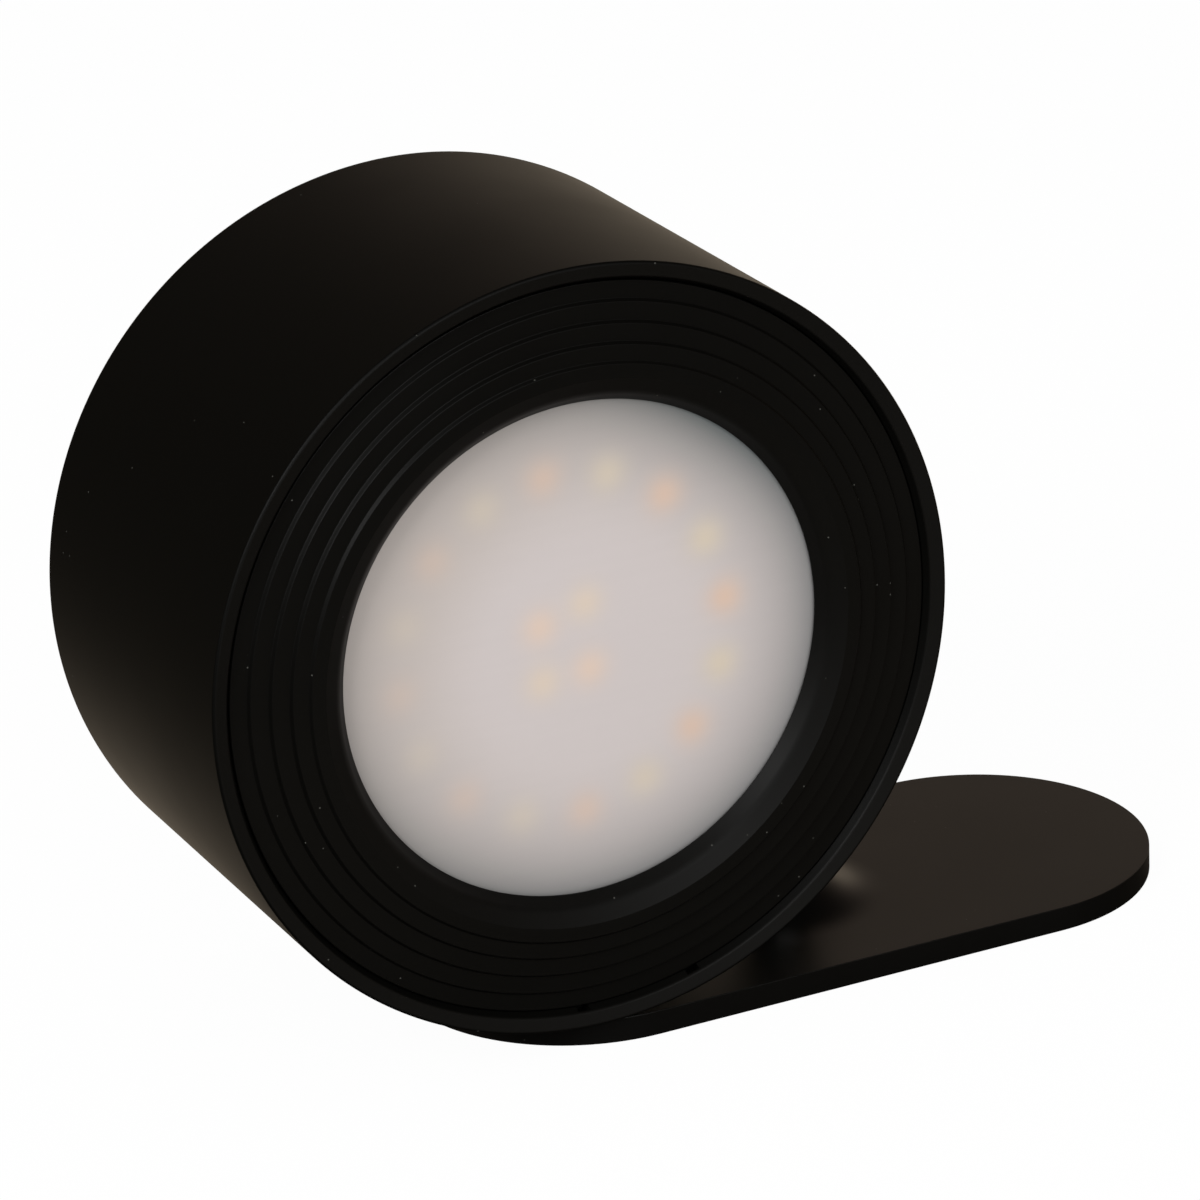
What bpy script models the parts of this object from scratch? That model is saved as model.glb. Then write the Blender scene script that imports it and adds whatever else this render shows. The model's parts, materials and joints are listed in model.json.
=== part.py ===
"""Rechargeable LED light on a magnetic ball joint: a short round lamp that rolls on a steel ball,
which stands on a thin plate stuck to a wall or lying on a shelf.

Metres, +Z up. The origin is the centre of the plate's back face, the plate's long axis is X, and
the lamp's face looks along -Y. The lamp lies rolled over to -X, with its side on the plate.
"""

import math

import bmesh
import bpy
from mathutils import Euler, Vector

# Clearances
FIT_GAP = 0.0003
BALL_CLEARANCE = 0.0003
REST_GAP = 0.0003
CUT_OVERRUN = 0.0010
MERGE_DISTANCE = 0.000001

# Round pieces: sides of each circle, and steps of the small curves
HOUSING_SIDES = 56
RING_SIDES = 40
SMALL_SIDES = 20
SCREW_SIDES = 8
SHARP_ANGLE = math.radians(30)
PLATE_EDGE_STEPS = 4
BOSS_STEPS = 6
RIM_EDGE_STEPS = 2
REAR_EDGE_STEPS = 3
KEY_STEPS = 4
HOOK_STEPS = 2
DISH_STEPS = 3
PORT_STEPS = 5
CORNER_STEPS = 2
EDGE_BEVEL_SHARE = 0.25

# Base plate, pressed from sheet steel
PLATE_LENGTH = 0.0850
PLATE_WIDTH = 0.0380
PLATE_HEIGHT = 0.0026
SHEET = 0.0010
PLATE_EDGE_RADIUS = 0.0003
BOSS_TOP_RADIUS = 0.0042
BOSS_FOOT_RADIUS = 0.0115
BOSS_HEIGHT = 0.0019
PAD_INSET = 0.0005

# Ball and the stud that carries it
BALL_RADIUS = 0.0055
BALL_LIFT = 0.0006
STUD_RADIUS = 0.0020
STUD_COLLAR_RADIUS = 0.0034
STUD_COLLAR_LIFT = 0.0001
WASHER_RADIUS = 0.0037
WASHER_THICKNESS = 0.0004
NUT_ACROSS_FLATS = 0.0070

# Lamp housing, as deep as what it holds
LAMP_RADIUS = 0.0400
WALL = 0.0020
REAR_WALL = 0.0020
RIM_EDGE_RADIUS = 0.0006
MOUTH_FLARE = 0.0005
MOUTH_DEPTH = 0.0013
REAR_EDGE_RADIUS = 0.0009
REAR_RIM_WIDTH = 0.0070
REAR_STEP_DEPTH = 0.0004
INNER_CORNER = 0.0015
GROOVE_DEPTH = 0.00045
GROOVE_TOP = 0.0039
GROOVE_HEIGHT = 0.0017
GROOVE_LEAD_IN = 0.0002

# Ball socket in the side of the lamp, just behind the mid frame
SOCKET_FRAME_GAP = 0.00055
SOCKET_BITE = 0.00165
CUP_WALL = 0.0009
CUP_FACE_INSET = 0.0006
CUP_FLANGE_MARGIN = 0.0007
CUP_FLANGE_THICKNESS = 0.0020
CUP_FLOOR = 0.0010
MAGNET_RADIUS = 0.0048
MAGNET_HEIGHT = 0.0030
RETAINER_THICKNESS = 0.0012
RETAINER_SCREW_WALL = 0.0008

# Front bezel: terraces that climb inwards, then a hollowed funnel down to the window
BEZEL_GAP = 0.0003
BEZEL_BAND = 0.0017
TERRACE_PITCH = 0.0020
TERRACE_RISE = 0.00042
TERRACES = 4
TERRACE_FIRST_DEPTH = 0.00118
CREST_WIDTH = 0.00152
WINDOW_DEPTH = 0.00163
WINDOW_LAND = 0.00012
FUNNEL_WIDTH = 0.0027
FUNNEL_KNEE_SHARES = (0.535, 0.345)
FUNNEL_STEPS = 4
BEZEL_SKIRT_DEPTH = 0.0065
BEZEL_SKIRT_WALL = 0.0012
BEZEL_UNDERSIDE = 0.0029
POCKET_WALL = 0.0012
POCKET_DEPTH = 0.0042
KEY_ANGLE = math.radians(233.5)
KEY_WIDTH = 0.0138
KEY_END_GAP = 0.0014
KEY_TOP_DEPTH = 0.00130
KEY_HEIGHT = 0.0016
KEY_NOTCH_DEPTH = 0.0006
HOOKS = 4
HOOK_WIDTH = 0.0050
HOOK_REACH = 0.0005
HOOK_ROOT = 0.0004

# Diffuser and reflector
DIFFUSER_THICKNESS = 0.0016
DIFFUSER_OVERLAP = 0.0032
REFLECTOR_TOP_WALL = 0.0014
REFLECTOR_LENGTH = 0.0026
REFLECTOR_CLEARANCE = 0.0020

# LED board
LED_BOARD_INSET = 0.00178
LED_BOARD_THICKNESS = 0.0012
OUTER_LEDS = 16
OUTER_LED_INSET = 0.0078
OUTER_LED_PHASE = math.radians(7.0)
INNER_LEDS = 4
INNER_LED_CIRCLE = 0.0040
INNER_LED_PHASE = math.radians(97.5)
LED_LENGTH = 0.0035
LED_WIDTH = 0.0028
LED_HEIGHT = 0.0007
LED_SOLDER = 0.0001
LED_BOARD_SCREW_ANGLES = (math.radians(100), math.radians(280))

# Screws
SCREW_RADIUS = 0.0010
SCREW_HEAD_RADIUS = 0.0019
SCREW_HEAD_HEIGHT = 0.0012
SCREW_HOLE_CLEARANCE = 0.0003
SCREW_RECESS_RADIUS = 0.0009
SCREW_RECESS_DEPTH = 0.0006
FRAME_SCREW_LENGTH = 0.0080
BOARD_SCREW_LENGTH = 0.0040

# Mid frame, which carries the LED board in front and the battery cradle behind
FRAME_THICKNESS = 0.0016
FRAME_COLLAR_WALL = 0.0014
FRAME_POST_INSET = 0.0022
FRAME_SCREW_ANGLES = (math.radians(50), math.radians(130), math.radians(306))
LEAD_HOLE_RADIUS = 0.0026
LEAD_HOLE_OFFSET = 0.0019
POST_RADIUS = 0.0028

# Battery and cradle: a standard cell with a sleeve
BATTERY_RADIUS = 0.0092
BATTERY_END_GAP = 0.00138
BATTERY_BOARD_GAP = 0.00645
BATTERY_POST_GAP = 0.00338
BATTERY_EDGE = 0.0006
TERMINAL_RADIUS = 0.0029
TERMINAL_HEIGHT = 0.0010
CRADLE_THICKNESS = 0.0012
CRADLE_END_INSET = 0.0025
CRADLE_WALL = 0.0016
CRADLE_TAB = 0.0070
SADDLE_LENGTH = 0.0080
CRADLE_SCREW_INSET = 0.0100

# Control board with the charging socket at its edge
PORT_ANGLE = math.radians(200)
BOARD_LENGTH = 0.0480
BOARD_WIDTH = 0.0240
BOARD_THICKNESS = 0.0012
BOARD_STANDOFF = 0.0038
BOARD_EDGE_GAP = 0.0005
BOARD_CORNER = 0.0012
BOARD_SCREW_INSET = 0.0042
CHIP_SIZE = 0.0060
CHIP_HEIGHT = 0.0012
CONNECTOR_LENGTH = 0.0080
CONNECTOR_WIDTH = 0.0045
CONNECTOR_HEIGHT = 0.0026
USB_WIDTH = 0.0089
USB_HEIGHT = 0.0032
USB_LENGTH = 0.0073
USB_SHELL = 0.0003
USB_TONGUE_WIDTH = 0.0060
USB_TONGUE_HEIGHT = 0.0007
USB_TONGUE_LENGTH = 0.0050
USB_INSET = 0.0012
PORT_LEAD_IN = 0.0005
PIPE_RADIUS = 0.0009
PIPE_FLANGE_RADIUS = 0.0015
PIPE_FLANGE = 0.0007
PIPE_OFFSET = 0.0082

# Touch plate in the rear face
TOUCH_RADIUS = 0.0090
TOUCH_THICKNESS = 0.0006
TOUCH_RECESS = 0.0010
TOUCH_EDGE = 0.0002
TOUCH_STEM_RADIUS = 0.0020
TOUCH_STEM_LENGTH = 0.0016
SPRING_RADIUS = 0.0016
SPRING_WIRE = 0.00025
SPRING_TURNS = 3
SPRING_POINTS_PER_TURN = 8

# Leads
LEAD_RADIUS = 0.0006
LED_LEAD_POINTS = 9
BATTERY_LEAD_POINTS = 11
LEAD_SPREAD = 0.0018
LEAD_BOW = 0.0015
LEAD_SOLDER_SHARE = 0.75

# Places that follow from the sizes above
BOSS_TOP = PLATE_HEIGHT + BOSS_HEIGHT
BALL_HEIGHT = BOSS_HEIGHT + BALL_LIFT + BALL_RADIUS
BALL_CENTRE = Vector((0, 0, PLATE_HEIGHT + BALL_HEIGHT))
AXIS_REACH = LAMP_RADIUS + BALL_RADIUS - SOCKET_BITE
LEAN = math.acos((LAMP_RADIUS + REST_GAP - BALL_HEIGHT) / AXIS_REACH)
SCREW_HOLE_RADIUS = SCREW_RADIUS + SCREW_HOLE_CLEARANCE
BORE_RADIUS = LAMP_RADIUS - WALL
MOUTH_RADIUS = BORE_RADIUS + MOUTH_FLARE
REAR_STEP_RADIUS = LAMP_RADIUS - REAR_RIM_WIDTH
CUP_RADIUS = MAGNET_RADIUS + FIT_GAP + CUP_WALL
RETAINER_SCREW_CIRCLE = MAGNET_RADIUS + FIT_GAP + RETAINER_SCREW_WALL + SCREW_HOLE_RADIUS
CUP_FLANGE_RADIUS = RETAINER_SCREW_CIRCLE + SCREW_HOLE_RADIUS + CUP_FLANGE_MARGIN
BEZEL_RADIUS = BORE_RADIUS - BEZEL_GAP
TERRACE_FIRST_RADIUS = BEZEL_RADIUS - BEZEL_BAND
CREST_RADIUS = TERRACE_FIRST_RADIUS - (TERRACES - 1) * TERRACE_PITCH
WINDOW_RADIUS = CREST_RADIUS - CREST_WIDTH - FUNNEL_WIDTH
DIFFUSER_RADIUS = WINDOW_RADIUS + DIFFUSER_OVERLAP
DIFFUSER_TOP = -(WINDOW_DEPTH + WINDOW_LAND + FIT_GAP)
DIFFUSER_BOTTOM = DIFFUSER_TOP - DIFFUSER_THICKNESS
REFLECTOR_TOP = DIFFUSER_BOTTOM - FIT_GAP
REFLECTOR_BOTTOM = REFLECTOR_TOP - REFLECTOR_LENGTH
LED_BOARD_RADIUS = WINDOW_RADIUS - LED_BOARD_INSET
OUTER_LED_CIRCLE = WINDOW_RADIUS - OUTER_LED_INSET
REFLECTOR_MOUTH_RADIUS = OUTER_LED_CIRCLE + LED_WIDTH / 2 + REFLECTOR_CLEARANCE
LED_BOARD_SCREW_CIRCLE = (INNER_LED_CIRCLE + OUTER_LED_CIRCLE) / 2
LED_BOARD_TOP = REFLECTOR_BOTTOM - FIT_GAP
LED_BOARD_BOTTOM = LED_BOARD_TOP - LED_BOARD_THICKNESS
FRAME_TOP = LED_BOARD_BOTTOM - FIT_GAP
FRAME_BOTTOM = FRAME_TOP - FRAME_THICKNESS
SOCKET_FROM_FRONT = CUP_FLANGE_RADIUS + SOCKET_FRAME_GAP - FRAME_BOTTOM
CRADLE_TOP = FRAME_BOTTOM - FIT_GAP
CRADLE_BOTTOM = CRADLE_TOP - CRADLE_THICKNESS
BATTERY_AXIS_Z = CRADLE_BOTTOM - FIT_GAP - BATTERY_RADIUS
BOARD_FRONT = BATTERY_AXIS_Z - BATTERY_RADIUS - BATTERY_BOARD_GAP
BOARD_BACK = BOARD_FRONT - BOARD_THICKNESS
REAR_FLOOR = BOARD_BACK - BOARD_STANDOFF
LAMP_LENGTH = REAR_WALL - REAR_FLOOR
SADDLE_RADIUS = BATTERY_RADIUS + FIT_GAP
FRAME_SCREW_CIRCLE = BORE_RADIUS - POST_RADIUS - FRAME_POST_INSET
POST_LOW = FRAME_SCREW_CIRCLE * math.sin(FRAME_SCREW_ANGLES[0]) - POST_RADIUS
BATTERY_RAISE = POST_LOW - BATTERY_POST_GAP - CRADLE_WALL - SADDLE_RADIUS
BATTERY_TOP = BATTERY_RAISE + BATTERY_RADIUS
BATTERY_LENGTH = 2 * (math.sqrt(BORE_RADIUS**2 - BATTERY_TOP**2) - BATTERY_END_GAP)
CRADLE_LENGTH = BATTERY_LENGTH - 2 * CRADLE_END_INSET
CRADLE_LOW = BATTERY_RAISE - SADDLE_RADIUS - CRADLE_WALL - CRADLE_TAB
BOARD_OUTER_EDGE = math.sqrt(BORE_RADIUS**2 - (BOARD_WIDTH / 2) ** 2) - BOARD_EDGE_GAP
BOARD_CENTRE_X = BOARD_OUTER_EDGE - BOARD_LENGTH / 2
USB_CENTRE_Z = BOARD_FRONT + FIT_GAP + USB_HEIGHT / 2
LEAD_HOLE_SHARE = -0.50
CHIP_PLACE_SHARES = (-0.10, -0.22)
CONNECTOR_PLACE_SHARES = (0.06, 0.28)


def material(name, colour, roughness, metallic=0.0):
    made = bpy.data.materials.new(name)
    made.use_nodes = True
    shader = made.node_tree.nodes["Principled BSDF"]
    shader.inputs["Base Color"].default_value = (*colour, 1)
    shader.inputs["Roughness"].default_value = roughness
    shader.inputs["Metallic"].default_value = metallic
    return made


def empty(name, location, rotation, parent=None):
    frame = bpy.data.objects.new(name, None)
    frame.location = location
    frame.rotation_euler = Euler(rotation)
    frame.parent = parent
    bpy.context.collection.objects.link(frame)
    return frame


def place(name, bm, parent, finish=None, location=(0, 0, 0), rotation=(0, 0, 0)):
    """Makes the object of a bmesh, shaded smooth with its hard edges kept."""
    bmesh.ops.remove_doubles(bm, verts=bm.verts, dist=MERGE_DISTANCE)
    bmesh.ops.recalc_face_normals(bm, faces=bm.faces)
    mesh = bpy.data.meshes.new(name)
    bm.to_mesh(mesh)
    bm.free()
    mesh.shade_smooth()
    mesh.set_sharp_from_angle(angle=SHARP_ANGLE)
    piece = bpy.data.objects.new(name, mesh)
    piece.location = location
    piece.rotation_euler = Euler(rotation)
    piece.parent = parent
    if finish:
        mesh.materials.append(finish)
    bpy.context.collection.objects.link(piece)
    return piece


def boolean(piece, other, operation):
    """Cuts other from piece or joins it on, and keeps other as a hidden guide."""
    other.hide_render = True
    other.display_type = "WIRE"
    modifier = piece.modifiers.new(other.name, "BOOLEAN")
    modifier.operation = operation
    modifier.solver = "EXACT"
    modifier.object = other


def cut(piece, other):
    boolean(piece, other, "DIFFERENCE")


def join(piece, other):
    boolean(piece, other, "UNION")


def turned(profile, sides, closed=True):
    """Spins a profile of (radius, height) points round Z. An open profile starts and ends on Z."""
    hubs = []
    if not closed:
        ends = ((profile[0], profile[1]), (profile[-1], profile[-2]))
        hubs = [end[1] for end, rim in ends if end[1] == rim[1]]
    bm = bmesh.new()
    points = [bm.verts.new((radius, 0, height)) for radius, height in profile]
    pairs = list(zip(points, points[1:]))
    if closed:
        pairs.append((points[-1], points[0]))
    edges = [bm.edges.new(pair) for pair in pairs]
    bmesh.ops.spin(
        bm, geom=points + edges, cent=(0, 0, 0), axis=(0, 0, 1), angle=math.tau, steps=sides, use_merge=True
    )
    bmesh.ops.remove_doubles(bm, verts=bm.verts, dist=MERGE_DISTANCE)
    on_axis = [vert for vert in bm.verts if vert.co.xy.length < MERGE_DISTANCE]
    centres = [vert for vert in on_axis if any(abs(vert.co.z - hub) < MERGE_DISTANCE for hub in hubs)]
    bmesh.ops.dissolve_verts(bm, verts=centres)
    return bm


def prism(outline, bottom, top):
    """Extrudes an outline of (x, y) points from one height to another."""
    bm = bmesh.new()
    floor = bm.faces.new([bm.verts.new((x, y, bottom)) for x, y in outline])
    walls = bmesh.ops.extrude_face_region(bm, geom=[floor])
    raised = [item for item in walls["geom"] if isinstance(item, bmesh.types.BMVert)]
    bmesh.ops.translate(bm, verts=raised, vec=(0, 0, top - bottom))
    return bm


def cylinder(radius, bottom, top, sides):
    return turned([(0, top), (radius, top), (radius, bottom), (0, bottom)], sides, closed=False)


def arc(centre, radius, start, end, steps):
    """Points along an arc, both ends included. Radius may be one number or a pair for an ellipse."""
    across, along = radius if isinstance(radius, tuple) else (radius, radius)
    turns = [start + (end - start) * step / steps for step in range(steps + 1)]
    return [(centre[0] + across * math.cos(turn), centre[1] + along * math.sin(turn)) for turn in turns]


def stadium(length, width, steps):
    """Outline with two round ends, long axis X."""
    radius = width / 2
    reach = length / 2 - radius
    right = arc((reach, 0), radius, -math.pi / 2, math.pi / 2, steps)
    left = arc((-reach, 0), radius, math.pi / 2, 3 * math.pi / 2, steps)
    return right + left


def rounded_box(length, width, corner, steps=CORNER_STEPS):
    """Outline of a rectangle with round corners."""
    across, along = length / 2 - corner, width / 2 - corner
    centres = ((across, along), (-across, along), (-across, -along), (across, -along))
    outline = []
    for quarter, centre in enumerate(centres):
        start = quarter * math.pi / 2
        outline += arc(centre, corner, start, start + math.pi / 2, steps)
    return outline


def sector(inner, outer, middle, width, steps=KEY_STEPS):
    """Outline of a piece of a ring, width measured along its outer arc."""
    half = width / outer / 2
    return arc((0, 0), outer, middle - half, middle + half, steps) + arc(
        (0, 0), inner, middle + half, middle - half, steps
    )


def polar(radius, angle):
    return Vector((radius * math.cos(angle), radius * math.sin(angle), 0))


def screw(name, parent, length, finish, location, rotation=(0, 0, 0)):
    """Pan head screw whose head rests at its origin, shank down -Z, with a round driver recess."""
    floor = SCREW_HEAD_HEIGHT - SCREW_RECESS_DEPTH
    shoulder = (SCREW_RECESS_RADIUS + SCREW_HEAD_RADIUS) / 2
    tip = SCREW_RADIUS / 2
    profile = [
        (0, floor),
        (SCREW_RECESS_RADIUS, floor),
        (SCREW_RECESS_RADIUS, SCREW_HEAD_HEIGHT),
        (shoulder, SCREW_HEAD_HEIGHT),
        (SCREW_HEAD_RADIUS, floor),
        (SCREW_HEAD_RADIUS, 0),
        (SCREW_RADIUS, 0),
        (SCREW_RADIUS, -length + tip),
        (tip, -length),
        (0, -length),
    ]
    return place(name, turned(profile, SCREW_SIDES, closed=False), parent, finish, location, rotation)


def tube(name, points, radius, parent, finish, sides_setting=1):
    """Round wire along a list of points, with filled ends."""
    curve = bpy.data.curves.new(name, "CURVE")
    curve.dimensions = "3D"
    curve.bevel_depth = radius
    curve.bevel_resolution = sides_setting
    curve.use_fill_caps = True
    spline = curve.splines.new("POLY")
    spline.points.add(len(points) - 1)
    for point, target in zip(spline.points, points):
        point.co = (*target, 1)
    curve.materials.append(finish)
    wire = bpy.data.objects.new(name, curve)
    wire.parent = parent
    bpy.context.collection.objects.link(wire)
    return wire


def bezier(start, first, second, end, count):
    """Points along a cubic curve."""
    points = []
    for step in range(count):
        t = step / (count - 1)
        s = 1 - t
        points.append(s**3 * start + 3 * s * s * t * first + 3 * s * t * t * second + t**3 * end)
    return points


def boss_height(radius):
    """Height of the plate's boss above its top face: a smooth S from its top to its foot."""
    if radius <= BOSS_TOP_RADIUS:
        return BOSS_HEIGHT
    t = (radius - BOSS_TOP_RADIUS) / (BOSS_FOOT_RADIUS - BOSS_TOP_RADIUS)
    return BOSS_HEIGHT * (1 - t * t * (3 - 2 * t))


def make_base_plate(finishes):
    """Pressed tray with round ends, a turned-down skirt and a smooth boss under the ball."""
    end_steps = RING_SIDES // 2
    bm = bmesh.new()
    loops = []
    levels = [(0, 0)]
    corner = (PLATE_EDGE_RADIUS, PLATE_EDGE_RADIUS)
    for inset, drop in arc(corner, PLATE_EDGE_RADIUS, math.pi, math.pi * 3 / 2, PLATE_EDGE_STEPS):
        levels.append((inset, PLATE_HEIGHT - drop))
    for inset, height in levels:
        outline = stadium(PLATE_LENGTH - 2 * inset, PLATE_WIDTH - 2 * inset, end_steps)
        loops.append([bm.verts.new((x, y, height)) for x, y in outline])
    for lower, upper in zip(loops, loops[1:]):
        for index, corner in enumerate(lower):
            after = (index + 1) % len(lower)
            bm.faces.new((corner, lower[after], upper[after], upper[index]))
    bm.faces.new(loops[0][::-1])
    bm.faces.new(loops[-1])
    plate = place("base_plate", bm, None, finishes["plate"])

    width = BOSS_FOOT_RADIUS - BOSS_TOP_RADIUS
    radii = [BOSS_TOP_RADIUS + width * step / BOSS_STEPS for step in range(BOSS_STEPS + 1)]
    surface = [(radius, PLATE_HEIGHT + boss_height(radius)) for radius in radii]
    root = PLATE_HEIGHT - SHEET / 2
    hill = [(0, BOSS_TOP), *surface, (BOSS_FOOT_RADIUS, root), (0, root)]
    join(plate, place("boss_form", turned(hill, RING_SIDES, closed=False), None))

    pocket = stadium(PLATE_LENGTH - 2 * SHEET, PLATE_WIDTH - 2 * SHEET, end_steps)
    cut(plate, place("plate_pocket", prism(pocket, -CUT_OVERRUN, PLATE_HEIGHT - SHEET), None))
    hollow = [(radius, height - SHEET) for radius, height in surface[:-1]]
    hollow = [(0, BOSS_TOP - SHEET), *hollow, (hollow[-1][0], 0), (0, 0)]
    cut(plate, place("boss_hollow", turned(hollow, RING_SIDES, closed=False), None))
    hole = cylinder(STUD_RADIUS + FIT_GAP, 0, BOSS_TOP + CUT_OVERRUN, SMALL_SIDES)
    cut(plate, place("stud_hole", hole, None))


def make_plate_fittings(finishes):
    """Adhesive pad, stud, washer and nut: the stud is clamped through the boss."""
    inset = 2 * (SHEET + PAD_INSET)
    outline = stadium(PLATE_LENGTH - inset, PLATE_WIDTH - inset, RING_SIDES // 4)
    pad_top = PLATE_HEIGHT - SHEET - FIT_GAP
    place("adhesive_pad", prism(outline, 0, pad_top), None, finishes["foam"])

    ceiling = BOSS_TOP - SHEET
    washer_top = ceiling - FIT_GAP
    washer_bottom = washer_top - WASHER_THICKNESS
    hole = STUD_RADIUS + FIT_GAP
    ring = [
        (hole, washer_top),
        (WASHER_RADIUS, washer_top),
        (WASHER_RADIUS, washer_bottom),
        (hole, washer_bottom),
    ]
    place("stud_washer", turned(ring, SMALL_SIDES), None, finishes["steel"])

    nut_top = washer_bottom - FIT_GAP / 2
    nut_bottom = pad_top + FIT_GAP
    corner = NUT_ACROSS_FLATS / math.sqrt(3)
    hexagon = arc((0, 0), corner, 0, math.tau * 5 / 6, 5)
    nut = place("stud_nut", prism(hexagon, nut_bottom, nut_top), None, finishes["steel"])
    bore = cylinder(hole, nut_bottom - CUT_OVERRUN, nut_top + CUT_OVERRUN, SMALL_SIDES)
    cut(nut, place("nut_bore", bore, None))
    return nut_bottom


def make_stud(swivel, shank_bottom, finishes):
    """Turned stud with a cupped collar for the ball, made round the swivel axis."""
    seat = BALL_RADIUS + BALL_CLEARANCE
    edge = math.asin(STUD_COLLAR_RADIUS / seat)
    turns = [edge * step / DISH_STEPS for step in range(DISH_STEPS + 1)]
    cup = [(seat * math.sin(turn), -seat * math.cos(turn)) for turn in turns]
    collar_foot = BOSS_TOP + FIT_GAP / 2 + STUD_COLLAR_LIFT - BALL_CENTRE.z
    foot = shank_bottom - BALL_CENTRE.z
    profile = [
        *cup,
        (STUD_COLLAR_RADIUS, collar_foot),
        (STUD_RADIUS, collar_foot),
        (STUD_RADIUS, foot),
        (0, foot),
    ]
    place("ball_stud", turned(profile, SMALL_SIDES, closed=False), swivel, finishes["steel"])


def make_ball(swivel, finishes):
    bm = bmesh.new()
    bmesh.ops.create_uvsphere(bm, u_segments=SMALL_SIDES, v_segments=SMALL_SIDES // 2, radius=BALL_RADIUS)
    place("steel_ball", bm, swivel, finishes["ball"])


def housing_profile():
    """Cup profile from the middle of its inner floor, over the rim, to the middle of its rear face."""
    inner_floor = (BORE_RADIUS - INNER_CORNER, REAR_FLOOR + INNER_CORNER)
    points = [(0, REAR_FLOOR)] + arc(inner_floor, INNER_CORNER, -math.pi / 2, 0, 1)
    groove_bottom = GROOVE_TOP + GROOVE_HEIGHT
    points += [
        (BORE_RADIUS, -groove_bottom - GROOVE_LEAD_IN),
        (BORE_RADIUS + GROOVE_DEPTH, -groove_bottom),
        (BORE_RADIUS + GROOVE_DEPTH, -GROOVE_TOP),
        (BORE_RADIUS, -GROOVE_TOP + GROOVE_LEAD_IN),
        (BORE_RADIUS, -MOUTH_DEPTH),
        (MOUTH_RADIUS, 0),
    ]
    rim = (LAMP_RADIUS - RIM_EDGE_RADIUS, -RIM_EDGE_RADIUS)
    points += arc(rim, RIM_EDGE_RADIUS, math.pi / 2, 0, RIM_EDGE_STEPS)
    heel = (LAMP_RADIUS - REAR_EDGE_RADIUS, -LAMP_LENGTH + REAR_EDGE_RADIUS)
    points += arc(heel, REAR_EDGE_RADIUS, 0, -math.pi / 2, REAR_EDGE_STEPS)
    points += [
        (REAR_STEP_RADIUS + REAR_STEP_DEPTH, -LAMP_LENGTH),
        (REAR_STEP_RADIUS, -LAMP_LENGTH + REAR_STEP_DEPTH),
        (0, -LAMP_LENGTH + REAR_STEP_DEPTH),
    ]
    return points


def add_post(housing, name, parent, centre, top, hole_depth):
    """Screw post on the housing's rear wall, with its pilot hole."""
    root = REAR_FLOOR - REAR_WALL / 2
    join(housing, place(name, cylinder(POST_RADIUS, root, top, SMALL_SIDES), parent, location=centre))
    bore = cylinder(SCREW_HOLE_RADIUS, top - hole_depth, top + CUT_OVERRUN, SCREW_SIDES)
    cut(housing, place(name + "_bore", bore, parent, location=centre))


def make_housing(front, port, lean, finishes):
    """Deep moulded cup with screw posts, snap groove, key notch, ball socket hole and charging port."""
    cup = turned(housing_profile(), HOUSING_SIDES, closed=False)
    housing = place("housing", cup, front, finishes["housing"])
    top = FRAME_BOTTOM - FIT_GAP
    for index, angle in enumerate(FRAME_SCREW_ANGLES):
        centre = polar(FRAME_SCREW_CIRCLE, angle)
        add_post(housing, f"frame_post_{index + 1}", front, centre, top, FRAME_SCREW_LENGTH)
    top = BOARD_BACK - FIT_GAP
    for index, centre in enumerate(board_screw_places()):
        add_post(housing, f"board_post_{index + 1}", port, centre, top, BOARD_SCREW_LENGTH - FIT_GAP)

    notch = sector(BORE_RADIUS - MOUTH_FLARE, BORE_RADIUS + KEY_NOTCH_DEPTH, KEY_ANGLE, KEY_WIDTH)
    notch_floor = -(KEY_TOP_DEPTH + KEY_HEIGHT + FIT_GAP)
    cut(housing, place("key_notch", prism(notch, notch_floor, CUT_OVERRUN), front))

    inside = AXIS_REACH - BORE_RADIUS + 2 * WALL
    outside = AXIS_REACH - LAMP_RADIUS - CUT_OVERRUN
    hole = cylinder(CUP_RADIUS + FIT_GAP, outside, inside, SMALL_SIDES * 2)
    cut(housing, place("socket_hole", hole, lean))

    upright = (math.pi / 2, 0, math.pi / 2)
    spread = 2 * FIT_GAP
    mouth = stadium(USB_WIDTH + spread, USB_HEIGHT + spread, PORT_STEPS)
    start = BORE_RADIUS - WALL
    end = LAMP_RADIUS + CUT_OVERRUN
    cut(housing, place("port_mouth", prism(mouth, start, end), port, None, (0, 0, USB_CENTRE_Z), upright))
    spread += 2 * PORT_LEAD_IN
    flare = stadium(USB_WIDTH + spread, USB_HEIGHT + spread, PORT_STEPS)
    rim = LAMP_RADIUS - PORT_LEAD_IN
    cut(housing, place("port_lead_in", prism(flare, rim, end), port, None, (0, 0, USB_CENTRE_Z), upright))
    pipe_place = (0, PIPE_OFFSET, USB_CENTRE_Z)
    pipe_hole = cylinder(PIPE_RADIUS + FIT_GAP, start, end, SCREW_SIDES)
    cut(housing, place("pipe_hole", pipe_hole, port, None, pipe_place, upright))

    below = -LAMP_LENGTH - CUT_OVERRUN
    recess = cylinder(TOUCH_RADIUS + FIT_GAP, below, -LAMP_LENGTH + TOUCH_RECESS, SMALL_SIDES * 2)
    cut(housing, place("touch_recess", recess, front))
    through = cylinder(TOUCH_STEM_RADIUS + FIT_GAP, -LAMP_LENGTH, REAR_FLOOR + CUT_OVERRUN, SMALL_SIDES)
    cut(housing, place("touch_hole", through, front))


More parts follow.
